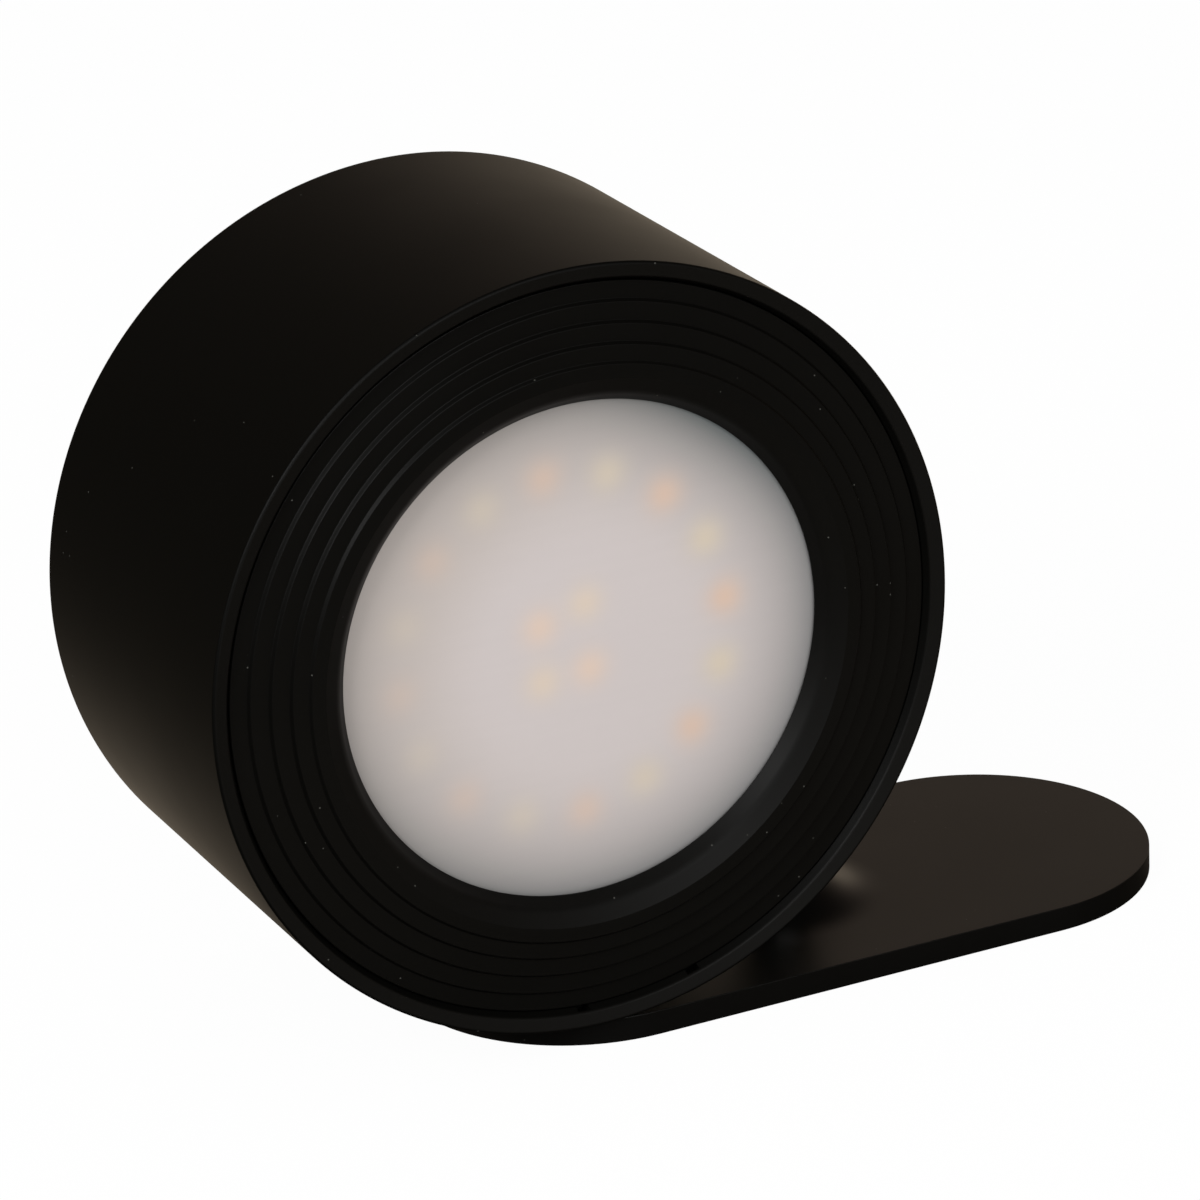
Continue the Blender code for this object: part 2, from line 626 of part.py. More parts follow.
def bezel_profile():
    """Closed section of the bezel: terraces, funnel, window lip, diffuser pocket and skirt."""
    points = [(BEZEL_RADIUS, -TERRACE_FIRST_DEPTH)]
    radius, height = TERRACE_FIRST_RADIUS, -TERRACE_FIRST_DEPTH
    for _ in range(TERRACES):
        points += [(radius, height), (radius, height + TERRACE_RISE)]
        radius -= TERRACE_PITCH
        height += TERRACE_RISE
    crest = Vector((WINDOW_RADIUS + FUNNEL_WIDTH, height))
    edge = Vector((WINDOW_RADIUS, -WINDOW_DEPTH))
    across, down = FUNNEL_KNEE_SHARES
    knee = Vector((crest.x + (edge.x - crest.x) * across, crest.y + (edge.y - crest.y) * down))
    for step in range(FUNNEL_STEPS + 1):
        t = step / FUNNEL_STEPS
        points.append((crest * (1 - t) ** 2 + knee * (2 * t * (1 - t)) + edge * t**2)[:])
    lip = -(WINDOW_DEPTH + WINDOW_LAND)
    pocket = DIFFUSER_RADIUS + FIT_GAP
    inner_skirt = BEZEL_RADIUS - BEZEL_SKIRT_WALL
    points += [
        (WINDOW_RADIUS, lip),
        (pocket, lip),
        (pocket, -POCKET_DEPTH),
        (pocket + POCKET_WALL, -POCKET_DEPTH),
        (pocket + POCKET_WALL, -BEZEL_UNDERSIDE),
        (inner_skirt, -BEZEL_UNDERSIDE),
        (inner_skirt, -BEZEL_SKIRT_DEPTH),
        (BEZEL_RADIUS, -BEZEL_SKIRT_DEPTH),
    ]
    return points


def make_bezel(front, finishes):
    """Terraced front ring with its key tab and the hooks that snap into the housing's groove."""
    bezel = place("front_bezel", turned(bezel_profile(), HOUSING_SIDES), front, finishes["bezel"])
    tab_outer = BORE_RADIUS + KEY_NOTCH_DEPTH - FIT_GAP
    tab = sector(BEZEL_RADIUS - BEZEL_SKIRT_WALL / 2, tab_outer, KEY_ANGLE, KEY_WIDTH - 2 * KEY_END_GAP)
    join(bezel, place("key_tab", prism(tab, -KEY_TOP_DEPTH - KEY_HEIGHT, -KEY_TOP_DEPTH), front))
    hook_top = -(GROOVE_TOP + GROOVE_LEAD_IN + FIT_GAP)
    hook_bottom = -(GROOVE_TOP + GROOVE_HEIGHT - FIT_GAP)
    for index in range(HOOKS):
        angle = math.tau * index / HOOKS
        outline = sector(BEZEL_RADIUS - HOOK_ROOT, BEZEL_RADIUS + HOOK_REACH, angle, HOOK_WIDTH, HOOK_STEPS)
        join(bezel, place(f"hook_{index + 1}", prism(outline, hook_bottom, hook_top), front))


def make_light_engine(front, finishes):
    """Diffuser, reflector ring, LED board and its LEDs."""
    disc = cylinder(DIFFUSER_RADIUS, DIFFUSER_BOTTOM, DIFFUSER_TOP, RING_SIDES)
    place("diffuser", disc, front, finishes["opal"])

    foot = LED_BOARD_RADIUS + FIT_GAP
    outer = DIFFUSER_RADIUS
    section = [
        (outer, REFLECTOR_TOP),
        (outer - REFLECTOR_TOP_WALL, REFLECTOR_TOP),
        (REFLECTOR_MOUTH_RADIUS, REFLECTOR_BOTTOM),
        (foot, REFLECTOR_BOTTOM),
        (foot, FRAME_TOP + FIT_GAP),
        (outer, FRAME_TOP + FIT_GAP),
    ]
    place("reflector_ring", turned(section, RING_SIDES), front, finishes["white"])

    disc = cylinder(LED_BOARD_RADIUS, LED_BOARD_BOTTOM, LED_BOARD_TOP, RING_SIDES)
    board = place("led_board", disc, front, finishes["board_white"])
    for index, angle in enumerate(LED_BOARD_SCREW_ANGLES):
        centre = polar(LED_BOARD_SCREW_CIRCLE, angle)
        bottom = LED_BOARD_BOTTOM - CUT_OVERRUN
        bore = cylinder(SCREW_HOLE_RADIUS, bottom, LED_BOARD_TOP + CUT_OVERRUN, SCREW_SIDES)
        cut(board, place(f"led_board_bore_{index + 1}", bore, front, location=centre))
        top = Vector((*centre.xy, LED_BOARD_TOP + FIT_GAP / 2))
        length = LED_BOARD_THICKNESS + FRAME_THICKNESS
        screw(f"led_board_screw_{index + 1}", front, length, finishes["screw"], top)

    rings = (
        (OUTER_LEDS, OUTER_LED_CIRCLE, OUTER_LED_PHASE),
        (INNER_LEDS, INNER_LED_CIRCLE, INNER_LED_PHASE),
    )
    base = LED_BOARD_TOP + LED_SOLDER
    counts = {"warm": 0, "cool": 0}
    for count, circle, phase in rings:
        for index in range(count):
            tone = "warm" if index % 2 == 0 else "cool"
            counts[tone] += 1
            angle = phase + math.tau * index / count
            outline = rounded_box(LED_WIDTH, LED_LENGTH, LED_HEIGHT * EDGE_BEVEL_SHARE, 1)
            body = prism(outline, base, base + LED_HEIGHT)
            name = f"led_{tone}_{counts[tone]:02d}"
            place(name, body, front, finishes["led_" + tone], polar(circle, angle), (0, 0, angle))


def make_mid_frame(front, finishes):
    """Moulded disc with a collar under the bezel's skirt and holes for its screws and the LED leads."""
    outer = BEZEL_RADIUS
    collar_top = -(BEZEL_SKIRT_DEPTH + FIT_GAP)
    profile = [
        (0, FRAME_TOP),
        (outer - FRAME_COLLAR_WALL, FRAME_TOP),
        (outer - FRAME_COLLAR_WALL, collar_top),
        (outer, collar_top),
        (outer, FRAME_BOTTOM),
        (0, FRAME_BOTTOM),
    ]
    disc = turned(profile, RING_SIDES, closed=False)
    frame = place("mid_frame", disc, front, finishes["grey_plastic"])
    places = [polar(FRAME_SCREW_CIRCLE, angle) for angle in FRAME_SCREW_ANGLES]
    for index, centre in enumerate(places):
        top = Vector((*centre.xy, FRAME_TOP + FIT_GAP / 2))
        screw(f"mid_frame_screw_{index + 1}", front, FRAME_SCREW_LENGTH, finishes["screw"], top)
    places += [polar(LED_BOARD_SCREW_CIRCLE, angle) for angle in LED_BOARD_SCREW_ANGLES]
    places += cradle_screw_places()
    for index, centre in enumerate(places):
        bore = cylinder(SCREW_HOLE_RADIUS, FRAME_BOTTOM - CUT_OVERRUN, FRAME_TOP + CUT_OVERRUN, SCREW_SIDES)
        cut(frame, place(f"frame_bore_{index + 1}", bore, front, location=centre))
    hole = cylinder(LEAD_HOLE_RADIUS, FRAME_BOTTOM - CUT_OVERRUN, FRAME_TOP + CUT_OVERRUN, SCREW_SIDES)
    cut(frame, place("lead_hole", hole, front, location=lead_hole_place()))


def lead_hole_place():
    return Vector((LEAD_HOLE_SHARE * LED_BOARD_RADIUS, CRADLE_LOW - LEAD_HOLE_OFFSET, 0))


def cradle_screw_places():
    spread = CRADLE_LENGTH / 2 - CRADLE_SCREW_INSET
    return [Vector((side * spread, CRADLE_LOW + CRADLE_TAB / 2, 0)) for side in (-1, 1)]


def make_battery(front, finishes):
    """Cylindrical cell across the lamp, in a cradle with two saddles screwed to the mid frame."""
    half = BATTERY_LENGTH / 2
    profile = [
        (0, half + TERMINAL_HEIGHT),
        (TERMINAL_RADIUS, half + TERMINAL_HEIGHT),
        (TERMINAL_RADIUS, half),
        (BATTERY_RADIUS - BATTERY_EDGE, half),
        (BATTERY_RADIUS, half - BATTERY_EDGE),
        (BATTERY_RADIUS, -half + BATTERY_EDGE),
        (BATTERY_RADIUS - BATTERY_EDGE, -half),
        (0, -half),
    ]
    centre = (0, BATTERY_RAISE, BATTERY_AXIS_Z)
    sideways = (0, math.pi / 2, 0)
    cell = turned(profile, SMALL_SIDES, closed=False)
    place("battery_cell", cell, front, finishes["battery"], centre, sideways)

    depth = 2 * (SADDLE_RADIUS + CRADLE_WALL) + CRADLE_TAB
    middle = BATTERY_RAISE - CRADLE_TAB / 2
    base = prism(rounded_box(CRADLE_LENGTH, depth, CRADLE_WALL), CRADLE_BOTTOM, CRADLE_TOP)
    cradle = place("battery_cradle", base, front, finishes["grey_plastic"], (0, middle, 0))
    saddle_width = 2 * (SADDLE_RADIUS + CRADLE_WALL)
    saddle_root = CRADLE_BOTTOM + CRADLE_THICKNESS / 2
    for name, side in (("left", -1), ("right", 1)):
        outline = rounded_box(SADDLE_LENGTH, saddle_width, CRADLE_WALL / 2, 1)
        block = prism(outline, BATTERY_AXIS_Z, saddle_root)
        spot = (side * (CRADLE_LENGTH - SADDLE_LENGTH) / 2, BATTERY_RAISE, 0)
        join(cradle, place(f"saddle_{name}", block, front, location=spot))
    bore = cylinder(SADDLE_RADIUS, -CRADLE_LENGTH, CRADLE_LENGTH, SMALL_SIDES * 2)
    cut(cradle, place("saddle_bore", bore, front, None, centre, sideways))
    length = CRADLE_THICKNESS + FIT_GAP + FRAME_THICKNESS
    for index, centre in enumerate(cradle_screw_places()):
        bottom = CRADLE_BOTTOM - CUT_OVERRUN
        hole = cylinder(SCREW_HOLE_RADIUS, bottom, CRADLE_TOP + CUT_OVERRUN, SCREW_SIDES)
        cut(cradle, place(f"cradle_bore_{index + 1}", hole, front, location=centre))
        spot = Vector((*centre.xy, CRADLE_BOTTOM - FIT_GAP / 2))
        screw(f"cradle_screw_{index + 1}", front, length, finishes["screw"], spot, (math.pi, 0, 0))


def board_screw_places():
    near = BOARD_OUTER_EDGE - USB_LENGTH - 2 * BOARD_SCREW_INSET
    far = BOARD_OUTER_EDGE - BOARD_LENGTH + BOARD_SCREW_INSET
    side = BOARD_WIDTH / 2 - BOARD_SCREW_INSET
    return [Vector((near, -side, 0)), Vector((far, side, 0))]


def board_place(shares):
    """Point on the control board's front face, from shares of its length and width."""
    return Vector((BOARD_CENTRE_X + shares[0] * BOARD_LENGTH, shares[1] * BOARD_WIDTH, BOARD_FRONT))


def make_control_board(port, finishes):
    """Board on the rear wall with its chip, lead connector, charging socket and light pipe."""
    outline = rounded_box(BOARD_LENGTH, BOARD_WIDTH, BOARD_CORNER)
    sheet = prism(outline, BOARD_BACK, BOARD_FRONT)
    board = place("control_board", sheet, port, finishes["board_green"], (BOARD_CENTRE_X, 0, 0))
    for index, centre in enumerate(board_screw_places()):
        bore = cylinder(SCREW_HOLE_RADIUS, BOARD_BACK - CUT_OVERRUN, BOARD_FRONT + CUT_OVERRUN, SCREW_SIDES)
        cut(board, place(f"board_bore_{index + 1}", bore, port, location=centre))
        top = Vector((*centre.xy, BOARD_FRONT + FIT_GAP / 2))
        screw(f"board_screw_{index + 1}", port, BOARD_SCREW_LENGTH, finishes["screw"], top)

    solder = Vector((0, 0, LED_SOLDER))
    chip = prism(rounded_box(CHIP_SIZE, CHIP_SIZE, CHIP_HEIGHT * EDGE_BEVEL_SHARE, 1), 0, CHIP_HEIGHT)
    place("controller_chip", chip, port, finishes["chip"], board_place(CHIP_PLACE_SHARES) + solder)
    corner = CONNECTOR_HEIGHT * EDGE_BEVEL_SHARE
    outline = rounded_box(CONNECTOR_LENGTH, CONNECTOR_WIDTH, corner, 1)
    block = prism(outline, 0, CONNECTOR_HEIGHT)
    spot = board_place(CONNECTOR_PLACE_SHARES) + solder
    place("lead_connector", block, port, finishes["connector"], spot)

    upright = (math.pi / 2, 0, math.pi / 2)
    centre = (0, 0, USB_CENTRE_Z)
    mouth = LAMP_RADIUS - USB_INSET
    back = mouth - USB_LENGTH
    shell = prism(stadium(USB_WIDTH, USB_HEIGHT, PORT_STEPS), back, mouth)
    socket = place("usb_socket", shell, port, finishes["steel"], centre, upright)
    inside = stadium(USB_WIDTH - 2 * USB_SHELL, USB_HEIGHT - 2 * USB_SHELL, PORT_STEPS)
    hollow = prism(inside, back + USB_SHELL, mouth + CUT_OVERRUN)
    cut(socket, place("usb_hollow", hollow, port, None, centre, upright))
    corner = USB_TONGUE_HEIGHT * EDGE_BEVEL_SHARE
    tongue = rounded_box(USB_TONGUE_WIDTH, USB_TONGUE_HEIGHT, corner, 1)
    root = back + USB_SHELL / 2
    blade = prism(tongue, root, root + USB_TONGUE_LENGTH)
    join(socket, place("usb_tongue", blade, port, None, centre, upright))

    tip = math.sqrt(LAMP_RADIUS**2 - (PIPE_OFFSET + PIPE_RADIUS) ** 2) - FIT_GAP / 2
    flange_front = math.sqrt(BORE_RADIUS**2 - (PIPE_OFFSET + PIPE_FLANGE_RADIUS) ** 2) - FIT_GAP
    flange_back = flange_front - PIPE_FLANGE
    profile = [
        (0, tip),
        (PIPE_RADIUS, tip),
        (PIPE_RADIUS, flange_front),
        (PIPE_FLANGE_RADIUS, flange_front),
        (PIPE_FLANGE_RADIUS, flange_back),
        (0, flange_back),
    ]
    spot = (0, PIPE_OFFSET, USB_CENTRE_Z)
    pipe = turned(profile, SCREW_SIDES, closed=False)
    place("indicator_light_pipe", pipe, port, finishes["clear"], spot, upright)


def make_touch_plate(front, finishes):
    """Metal touch plate in the rear face, and the spring that joins it to the control board."""
    floor = -LAMP_LENGTH + TOUCH_RECESS
    face = floor - FIT_GAP - TOUCH_THICKNESS
    stem = floor + TOUCH_STEM_LENGTH
    profile = [
        (0, stem),
        (TOUCH_STEM_RADIUS, stem),
        (TOUCH_STEM_RADIUS, floor - FIT_GAP),
        (TOUCH_RADIUS, floor - FIT_GAP),
        (TOUCH_RADIUS, face + TOUCH_EDGE),
        (TOUCH_RADIUS - TOUCH_EDGE, face),
        (0, face),
    ]
    place("touch_plate", turned(profile, SMALL_SIDES * 2, closed=False), front, finishes["touch"])

    bottom = stem + FIT_GAP + SPRING_WIRE
    top = BOARD_BACK - FIT_GAP - SPRING_WIRE
    steps = SPRING_TURNS * SPRING_POINTS_PER_TURN
    coil = []
    for step in range(steps + 1):
        turn = math.tau * step / SPRING_POINTS_PER_TURN
        coil.append(polar(SPRING_RADIUS, turn) + Vector((0, 0, bottom + (top - bottom) * step / steps)))
    tube("touch_spring", coil, SPRING_WIRE, front, finishes["steel"], 0)


def make_socket(lean, finishes):
    """Cup with its ball dish, the magnet behind it and the retainer with two screws.

    Heights run from the ball's centre towards the lamp's axis.
    """
    dish_radius = BALL_RADIUS + BALL_CLEARANCE
    face = AXIS_REACH - (LAMP_RADIUS - CUP_FACE_INSET)
    edge = math.acos(face / dish_radius)
    turns = [edge * step / DISH_STEPS for step in range(DISH_STEPS + 1)]
    dish = [(dish_radius * math.sin(turn), dish_radius * math.cos(turn)) for turn in turns]
    drop = BORE_RADIUS - math.sqrt(BORE_RADIUS**2 - CUP_FLANGE_RADIUS**2)
    flange_low = AXIS_REACH - BORE_RADIUS + drop + FIT_GAP
    flange_high = flange_low + CUP_FLANGE_THICKNESS
    magnet_low = dish_radius + CUP_FLOOR
    pocket = MAGNET_RADIUS + FIT_GAP
    profile = [
        *dish,
        (CUP_RADIUS, face),
        (CUP_RADIUS, flange_low),
        (CUP_FLANGE_RADIUS, flange_low),
        (CUP_FLANGE_RADIUS, flange_high),
        (pocket, flange_high),
        (pocket, magnet_low),
        (0, magnet_low),
    ]
    cup = place("socket_cup", turned(profile, SMALL_SIDES * 2, closed=False), lean, finishes["steel_dark"])

    magnet_base = magnet_low + FIT_GAP
    magnet_top = magnet_base + MAGNET_HEIGHT
    disc = cylinder(MAGNET_RADIUS, magnet_base, magnet_top, SMALL_SIDES)
    place("socket_magnet", disc, lean, finishes["magnet"])

    cover_low = max(flange_high, magnet_top) + FIT_GAP
    cover_high = cover_low + RETAINER_THICKNESS
    disc = cylinder(CUP_FLANGE_RADIUS, cover_low, cover_high, SMALL_SIDES)
    cover = place("magnet_retainer", disc, lean, finishes["grey_plastic"])
    for index, side in enumerate((-1, 1)):
        centre = Vector((side * RETAINER_SCREW_CIRCLE, 0, 0))
        bore = cylinder(SCREW_HOLE_RADIUS, flange_low + FIT_GAP, cover_high + CUT_OVERRUN, SCREW_SIDES)
        hole = place(f"retainer_bore_{index + 1}", bore, lean, location=centre)
        cut(cup, hole)
        cut(cover, hole)
        spot = centre + Vector((0, 0, cover_high + FIT_GAP / 2))
        length = cover_high - flange_low - 2 * FIT_GAP
        screw(f"retainer_screw_{index + 1}", lean, length, finishes["screw"], spot)


def make_leads(front, finishes):
    """Battery leads from both ends of the cell and the two LED leads, all to the lead connector."""
    turn = Euler((0, 0, PORT_ANGLE)).to_matrix()
    height = Vector((0, 0, CONNECTOR_HEIGHT + LED_SOLDER + FIT_GAP + LEAD_RADIUS))
    landing = turn @ (board_place(CONNECTOR_PLACE_SHARES) + height)
    pitch = turn @ Vector((CONNECTOR_LENGTH / 4, 0, 0))

    start = lead_hole_place() + Vector((0, 0, LED_BOARD_BOTTOM - FIT_GAP))
    reach = (start.z - landing.z) / 2
    for name, side in (("warm", -1), ("cool", 1)):
        leave = start + pitch.normalized() * side * LEAD_SPREAD / 2
        end = landing + pitch / 2 * side
        drop = Vector((0, 0, reach))
        points = bezier(leave, leave - drop, end + drop, end, LED_LEAD_POINTS)
        tube(f"led_lead_{name}", points, LEAD_RADIUS, front, finishes["lead_" + name])

    out = BATTERY_LENGTH / 2 + FIT_GAP + LEAD_RADIUS
    for name, side in (("positive", 1), ("negative", -1)):
        solder = Vector((side * out, BATTERY_RAISE - LEAD_SOLDER_SHARE * BATTERY_RADIUS, BATTERY_AXIS_Z))
        fall = solder.y - 2 * SADDLE_RADIUS + LEAD_BOW
        below = Vector((side * (out + LEAD_BOW), fall, BATTERY_AXIS_Z))
        end = landing - side * pitch * 3 / 2
        over = end + Vector((side * CONNECTOR_LENGTH, 0, CONNECTOR_HEIGHT))
        points = bezier(solder, below, over, end, BATTERY_LEAD_POINTS)
        tube(f"battery_lead_{name}", points, LEAD_RADIUS, front, finishes["lead_" + name])


def make_finishes():
    return {
        "plate": material("satin_black_steel", (0.030, 0.026, 0.023), 0.34, 0.6),
        "foam": material("grey_foam", (0.12, 0.12, 0.12), 0.9),
        "steel": material("zinc_steel", (0.56, 0.56, 0.55), 0.35, 1.0),
        "steel_dark": material("blackened_steel", (0.08, 0.08, 0.08), 0.4, 1.0),
        "ball": material("dark_polished_steel", (0.085, 0.082, 0.078), 0.2, 1.0),
        "housing": material("matt_black_shell", (0.022, 0.021, 0.020), 0.55),
        "bezel": material("satin_black_bezel", (0.024, 0.023, 0.022), 0.42),
        "opal": material("opal_window", (0.66, 0.62, 0.60), 0.4),
        "white": material("white_moulding", (0.85, 0.85, 0.84), 0.4),
        "board_white": material("white_board", (0.80, 0.80, 0.78), 0.5),
        "led_warm": material("warm_led", (0.85, 0.45, 0.12), 0.35),
        "led_cool": material("cool_led", (0.85, 0.75, 0.25), 0.35),
        "screw": material("black_screw", (0.05, 0.05, 0.05), 0.35, 1.0),
        "grey_plastic": material("grey_moulding", (0.12, 0.12, 0.12), 0.6),
        "battery": material("battery_sleeve", (0.05, 0.18, 0.42), 0.35),
        "board_green": material("green_board", (0.03, 0.16, 0.07), 0.45),
        "chip": material("black_chip", (0.02, 0.02, 0.02), 0.4),
        "connector": material("cream_connector", (0.75, 0.70, 0.58), 0.5),
        "clear": material("clear_pipe", (0.85, 0.88, 0.90), 0.15),
        "touch": material("brushed_touch_plate", (0.35, 0.35, 0.35), 0.3, 1.0),
        "magnet": material("nickel_magnet", (0.62, 0.60, 0.56), 0.2, 1.0),
        "lead_warm": material("yellow_lead", (0.70, 0.50, 0.05), 0.45),
        "lead_cool": material("white_lead", (0.75, 0.75, 0.75), 0.45),
        "lead_positive": material("red_lead", (0.55, 0.03, 0.03), 0.45),
        "lead_negative": material("black_lead", (0.02, 0.02, 0.02), 0.45),
    }


def main():
    for item in list(bpy.data.objects):
        bpy.data.objects.remove(item)
    finishes = make_finishes()
    swivel = empty("ball_centre", BALL_CENTRE, (0, 0, 0))
    lean = empty("lamp_lean", (0, 0, 0), (0, -LEAN, 0), swivel)
    front = empty("lamp_front", (0, -SOCKET_FROM_FRONT, AXIS_REACH), (math.pi / 2, 0, 0), lean)
    port = empty("port_side", (0, 0, 0), (0, 0, PORT_ANGLE), front)

    make_base_plate(finishes)
    shank_bottom = make_plate_fittings(finishes)
    make_stud(swivel, shank_bottom, finishes)
    make_ball(swivel, finishes)
    make_housing(front, port, lean, finishes)
    make_bezel(front, finishes)
    make_light_engine(front, finishes)
    make_mid_frame(front, finishes)
    make_battery(front, finishes)
    make_control_board(port, finishes)
    make_touch_plate(front, finishes)
    make_socket(lean, finishes)
    make_leads(front, finishes)


main()
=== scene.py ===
import json
import math

import bmesh
import bpy
import numpy as np
from mathutils import Euler, Matrix, Vector


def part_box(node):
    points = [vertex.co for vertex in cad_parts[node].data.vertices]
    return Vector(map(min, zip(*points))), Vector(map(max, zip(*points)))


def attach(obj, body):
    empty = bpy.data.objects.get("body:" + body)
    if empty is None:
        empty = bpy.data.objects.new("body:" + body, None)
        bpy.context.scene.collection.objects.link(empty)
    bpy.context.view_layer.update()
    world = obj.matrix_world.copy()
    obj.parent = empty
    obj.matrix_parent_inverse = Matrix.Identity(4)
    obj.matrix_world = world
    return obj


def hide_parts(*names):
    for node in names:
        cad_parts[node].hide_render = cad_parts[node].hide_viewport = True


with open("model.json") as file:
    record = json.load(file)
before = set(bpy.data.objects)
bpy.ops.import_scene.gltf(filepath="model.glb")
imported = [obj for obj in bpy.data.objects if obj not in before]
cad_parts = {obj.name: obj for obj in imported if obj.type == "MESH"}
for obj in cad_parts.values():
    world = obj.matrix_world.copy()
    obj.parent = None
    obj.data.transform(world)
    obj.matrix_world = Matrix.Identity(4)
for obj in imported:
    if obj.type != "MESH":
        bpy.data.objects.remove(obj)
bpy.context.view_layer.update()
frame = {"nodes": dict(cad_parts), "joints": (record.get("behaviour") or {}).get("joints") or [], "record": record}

# General sizes, in metres
MM = 0.001
FIT_GAP = 0.3 * MM
OVERRUN = 1.0 * MM
MERGE_DISTANCE = 1e-7
NO_LENGTH = 1e-9
NO_RADIUS = 1e-6

# Segments round a piece, steps along an arc, and the angles that stay sharp
HOUSING_SEGMENTS = 288
FINE_SEGMENTS = 192
ROUND_SEGMENTS = 96
SMALL_SEGMENTS = 64
PIPE_SEGMENTS = 48
PIPE_HOLE_SEGMENTS = 32
PORT_STEPS = 16
USB_STEPS = 20
HOUSING_FILLET_STEPS = 6
BEZEL_FILLET_STEPS = 8
FILLET_STEPS = 4
SMALL_FILLET_STEPS = 3
CREASE = math.radians(35)
TURNED_CREASE = math.radians(30)

# Lamp housing
LAMP_RADIUS = 40.0 * MM
LAMP_LENGTH = 43.6 * MM
WALL = 2.0 * MM
BORE_RADIUS = LAMP_RADIUS - WALL
FLOOR_FILLET = 1.5 * MM
MOUTH_FLARE = 0.42 * MM
MOUTH_DEPTH = 1.3 * MM
MOUTH_FILLET = 0.05 * MM
RIM_FILLET = 0.32 * MM
RIM_INNER_FILLET = 0.34 * MM
RIM_FALL = 0.42 * MM
REAR_FILLET = 0.9 * MM
REAR_STEP_RADIUS = 33.0 * MM
REAR_STEP_DEPTH = 0.4 * MM
REAR_STEP_FILLET = 0.15 * MM

# Bezel, measured across the photograph's rings
BEZEL_RADIUS = 37.84 * MM
BEZEL_WALL = 1.2 * MM
BEZEL_BAND_DEPTH = 1.18 * MM
BEZEL_BAND_FILLET = 0.10 * MM
BEZEL_SKIRT_DEPTH = 6.5 * MM
BEZEL_BACK_FALL = 1.0 * MM
TERRACES = (
    (35.93 * MM, -0.76 * MM),
    (33.88 * MM, -0.32 * MM),
    (31.88 * MM, 0.12 * MM),
    (30.03 * MM, 0.46 * MM),
)
TERRACE_FILLET = 0.11 * MM
TERRACE_SLOPE = 0.115 * MM
WINDOW_RADIUS = 25.78 * MM
WINDOW_DEPTH = 1.63 * MM
WINDOW_LAND = 0.12 * MM
FUNNEL_WIDTH = 2.7 * MM
FUNNEL_TOP_SLOPE = math.radians(26)
FUNNEL_FOOT_SLOPE = math.radians(51.5)
FUNNEL_FILLET = 2.0 * MM
CREST_FILLET = 0.12 * MM

# Key of the bezel, and its notch in the housing with an opening at each end
KEY_ANGLE = math.radians(233.5)
KEY_WIDTH = 13.8 * MM
KEY_END_OPENING = 1.4 * MM
KEY_TOP_DEPTH = 1.30 * MM
KEY_HEIGHT = 1.6 * MM
KEY_ROOT = 0.6 * MM
KEY_REACH = 0.31 * MM
KEY_ROOF_GAP = 0.02 * MM
KEY_NOTCH_REACH = 0.34 * MM
KEY_LINE_WIDTH = 0.16 * MM
KEY_LINE_DEPTH = 0.8 * MM
KEY_POCKET_REACH = 1.0 * MM
KEY_POCKET_DEPTH = 0.85 * MM
KEY_POCKET_FOOT = 0.1 * MM
KEY_STEPS = 48
KEY_END_STEPS = 6

# Opal window
OPAL_RADIUS = 28.98 * MM
OPAL_FACE_DEPTH = 2.05 * MM
OPAL_BACK_DEPTH = 3.65 * MM
OPAL_FILLET = 0.2 * MM

# Plate with its boss, and the stud that stands in it
PLATE_TOP = 2.6 * MM
PLATE_SHEET = 1.0 * MM
PLATE_EDGE = 0.06 * MM
PLATE_EDGE_STEPS = 6
PLATE_STRIP = 0.1 * MM
PLATE_SIDE_STRIP = 0.08 * MM
PLATE_FOOT_CHAMFER = 0.02 * MM
PLATE_END_STEPS = 64
BOSS_SEGMENTS = 128
BOSS_ROWS = 24
BOSS_HEIGHT = 1.9 * MM
BOSS_TOP_RADIUS = 4.2 * MM
BOSS_FOOT_RADIUS = 11.5 * MM
BOSS_SPREAD = 3.35 * MM
STUD_HOLE_RADIUS = 2.3 * MM
STUD_SHANK_RADIUS = 2.0 * MM
STUD_COLLAR_RADIUS = 3.4 * MM
STUD_COLLAR_FOOT = 4.75 * MM
STUD_FILLET = 0.15 * MM
STUD_END_FILLET = 0.2 * MM
STUD_SEAT_STEPS = 9

# Socket cup behind the hole in the lamp's side
SOCKET_FROM_FRONT = 19.7 * MM
AXIS_REACH = 43.85 * MM
DISH_HOLE_RADIUS = 6.3 * MM
DISH_HOLE_OVERRUN = 4.0 * MM
DISH_LIP_RADIUS = 6.55 * MM
DISH_LIP_DEPTH = 0.55 * MM
CUP_SINK = 0.6 * MM
CUP_LIP_RADIUS = 6.0 * MM
CUP_FLANGE_RADIUS = 9.2 * MM
CUP_FLANGE_HEIGHT = 7.28 * MM
CUP_FLANGE_THICKNESS = 2.0 * MM
CUP_DISH_FILLET = 0.15 * MM
CUP_LIP_FILLET = 0.3 * MM
CUP_FLANGE_FILLET = 0.2 * MM
CUP_DISH_STEPS = 13

# Touch plate in the rear face
TOUCH_RADIUS = 9.0 * MM
TOUCH_RECESS_DEPTH = 1.0 * MM
TOUCH_SINK = 0.1 * MM
TOUCH_THICKNESS = 0.6 * MM
TOUCH_FILLET = 0.2 * MM

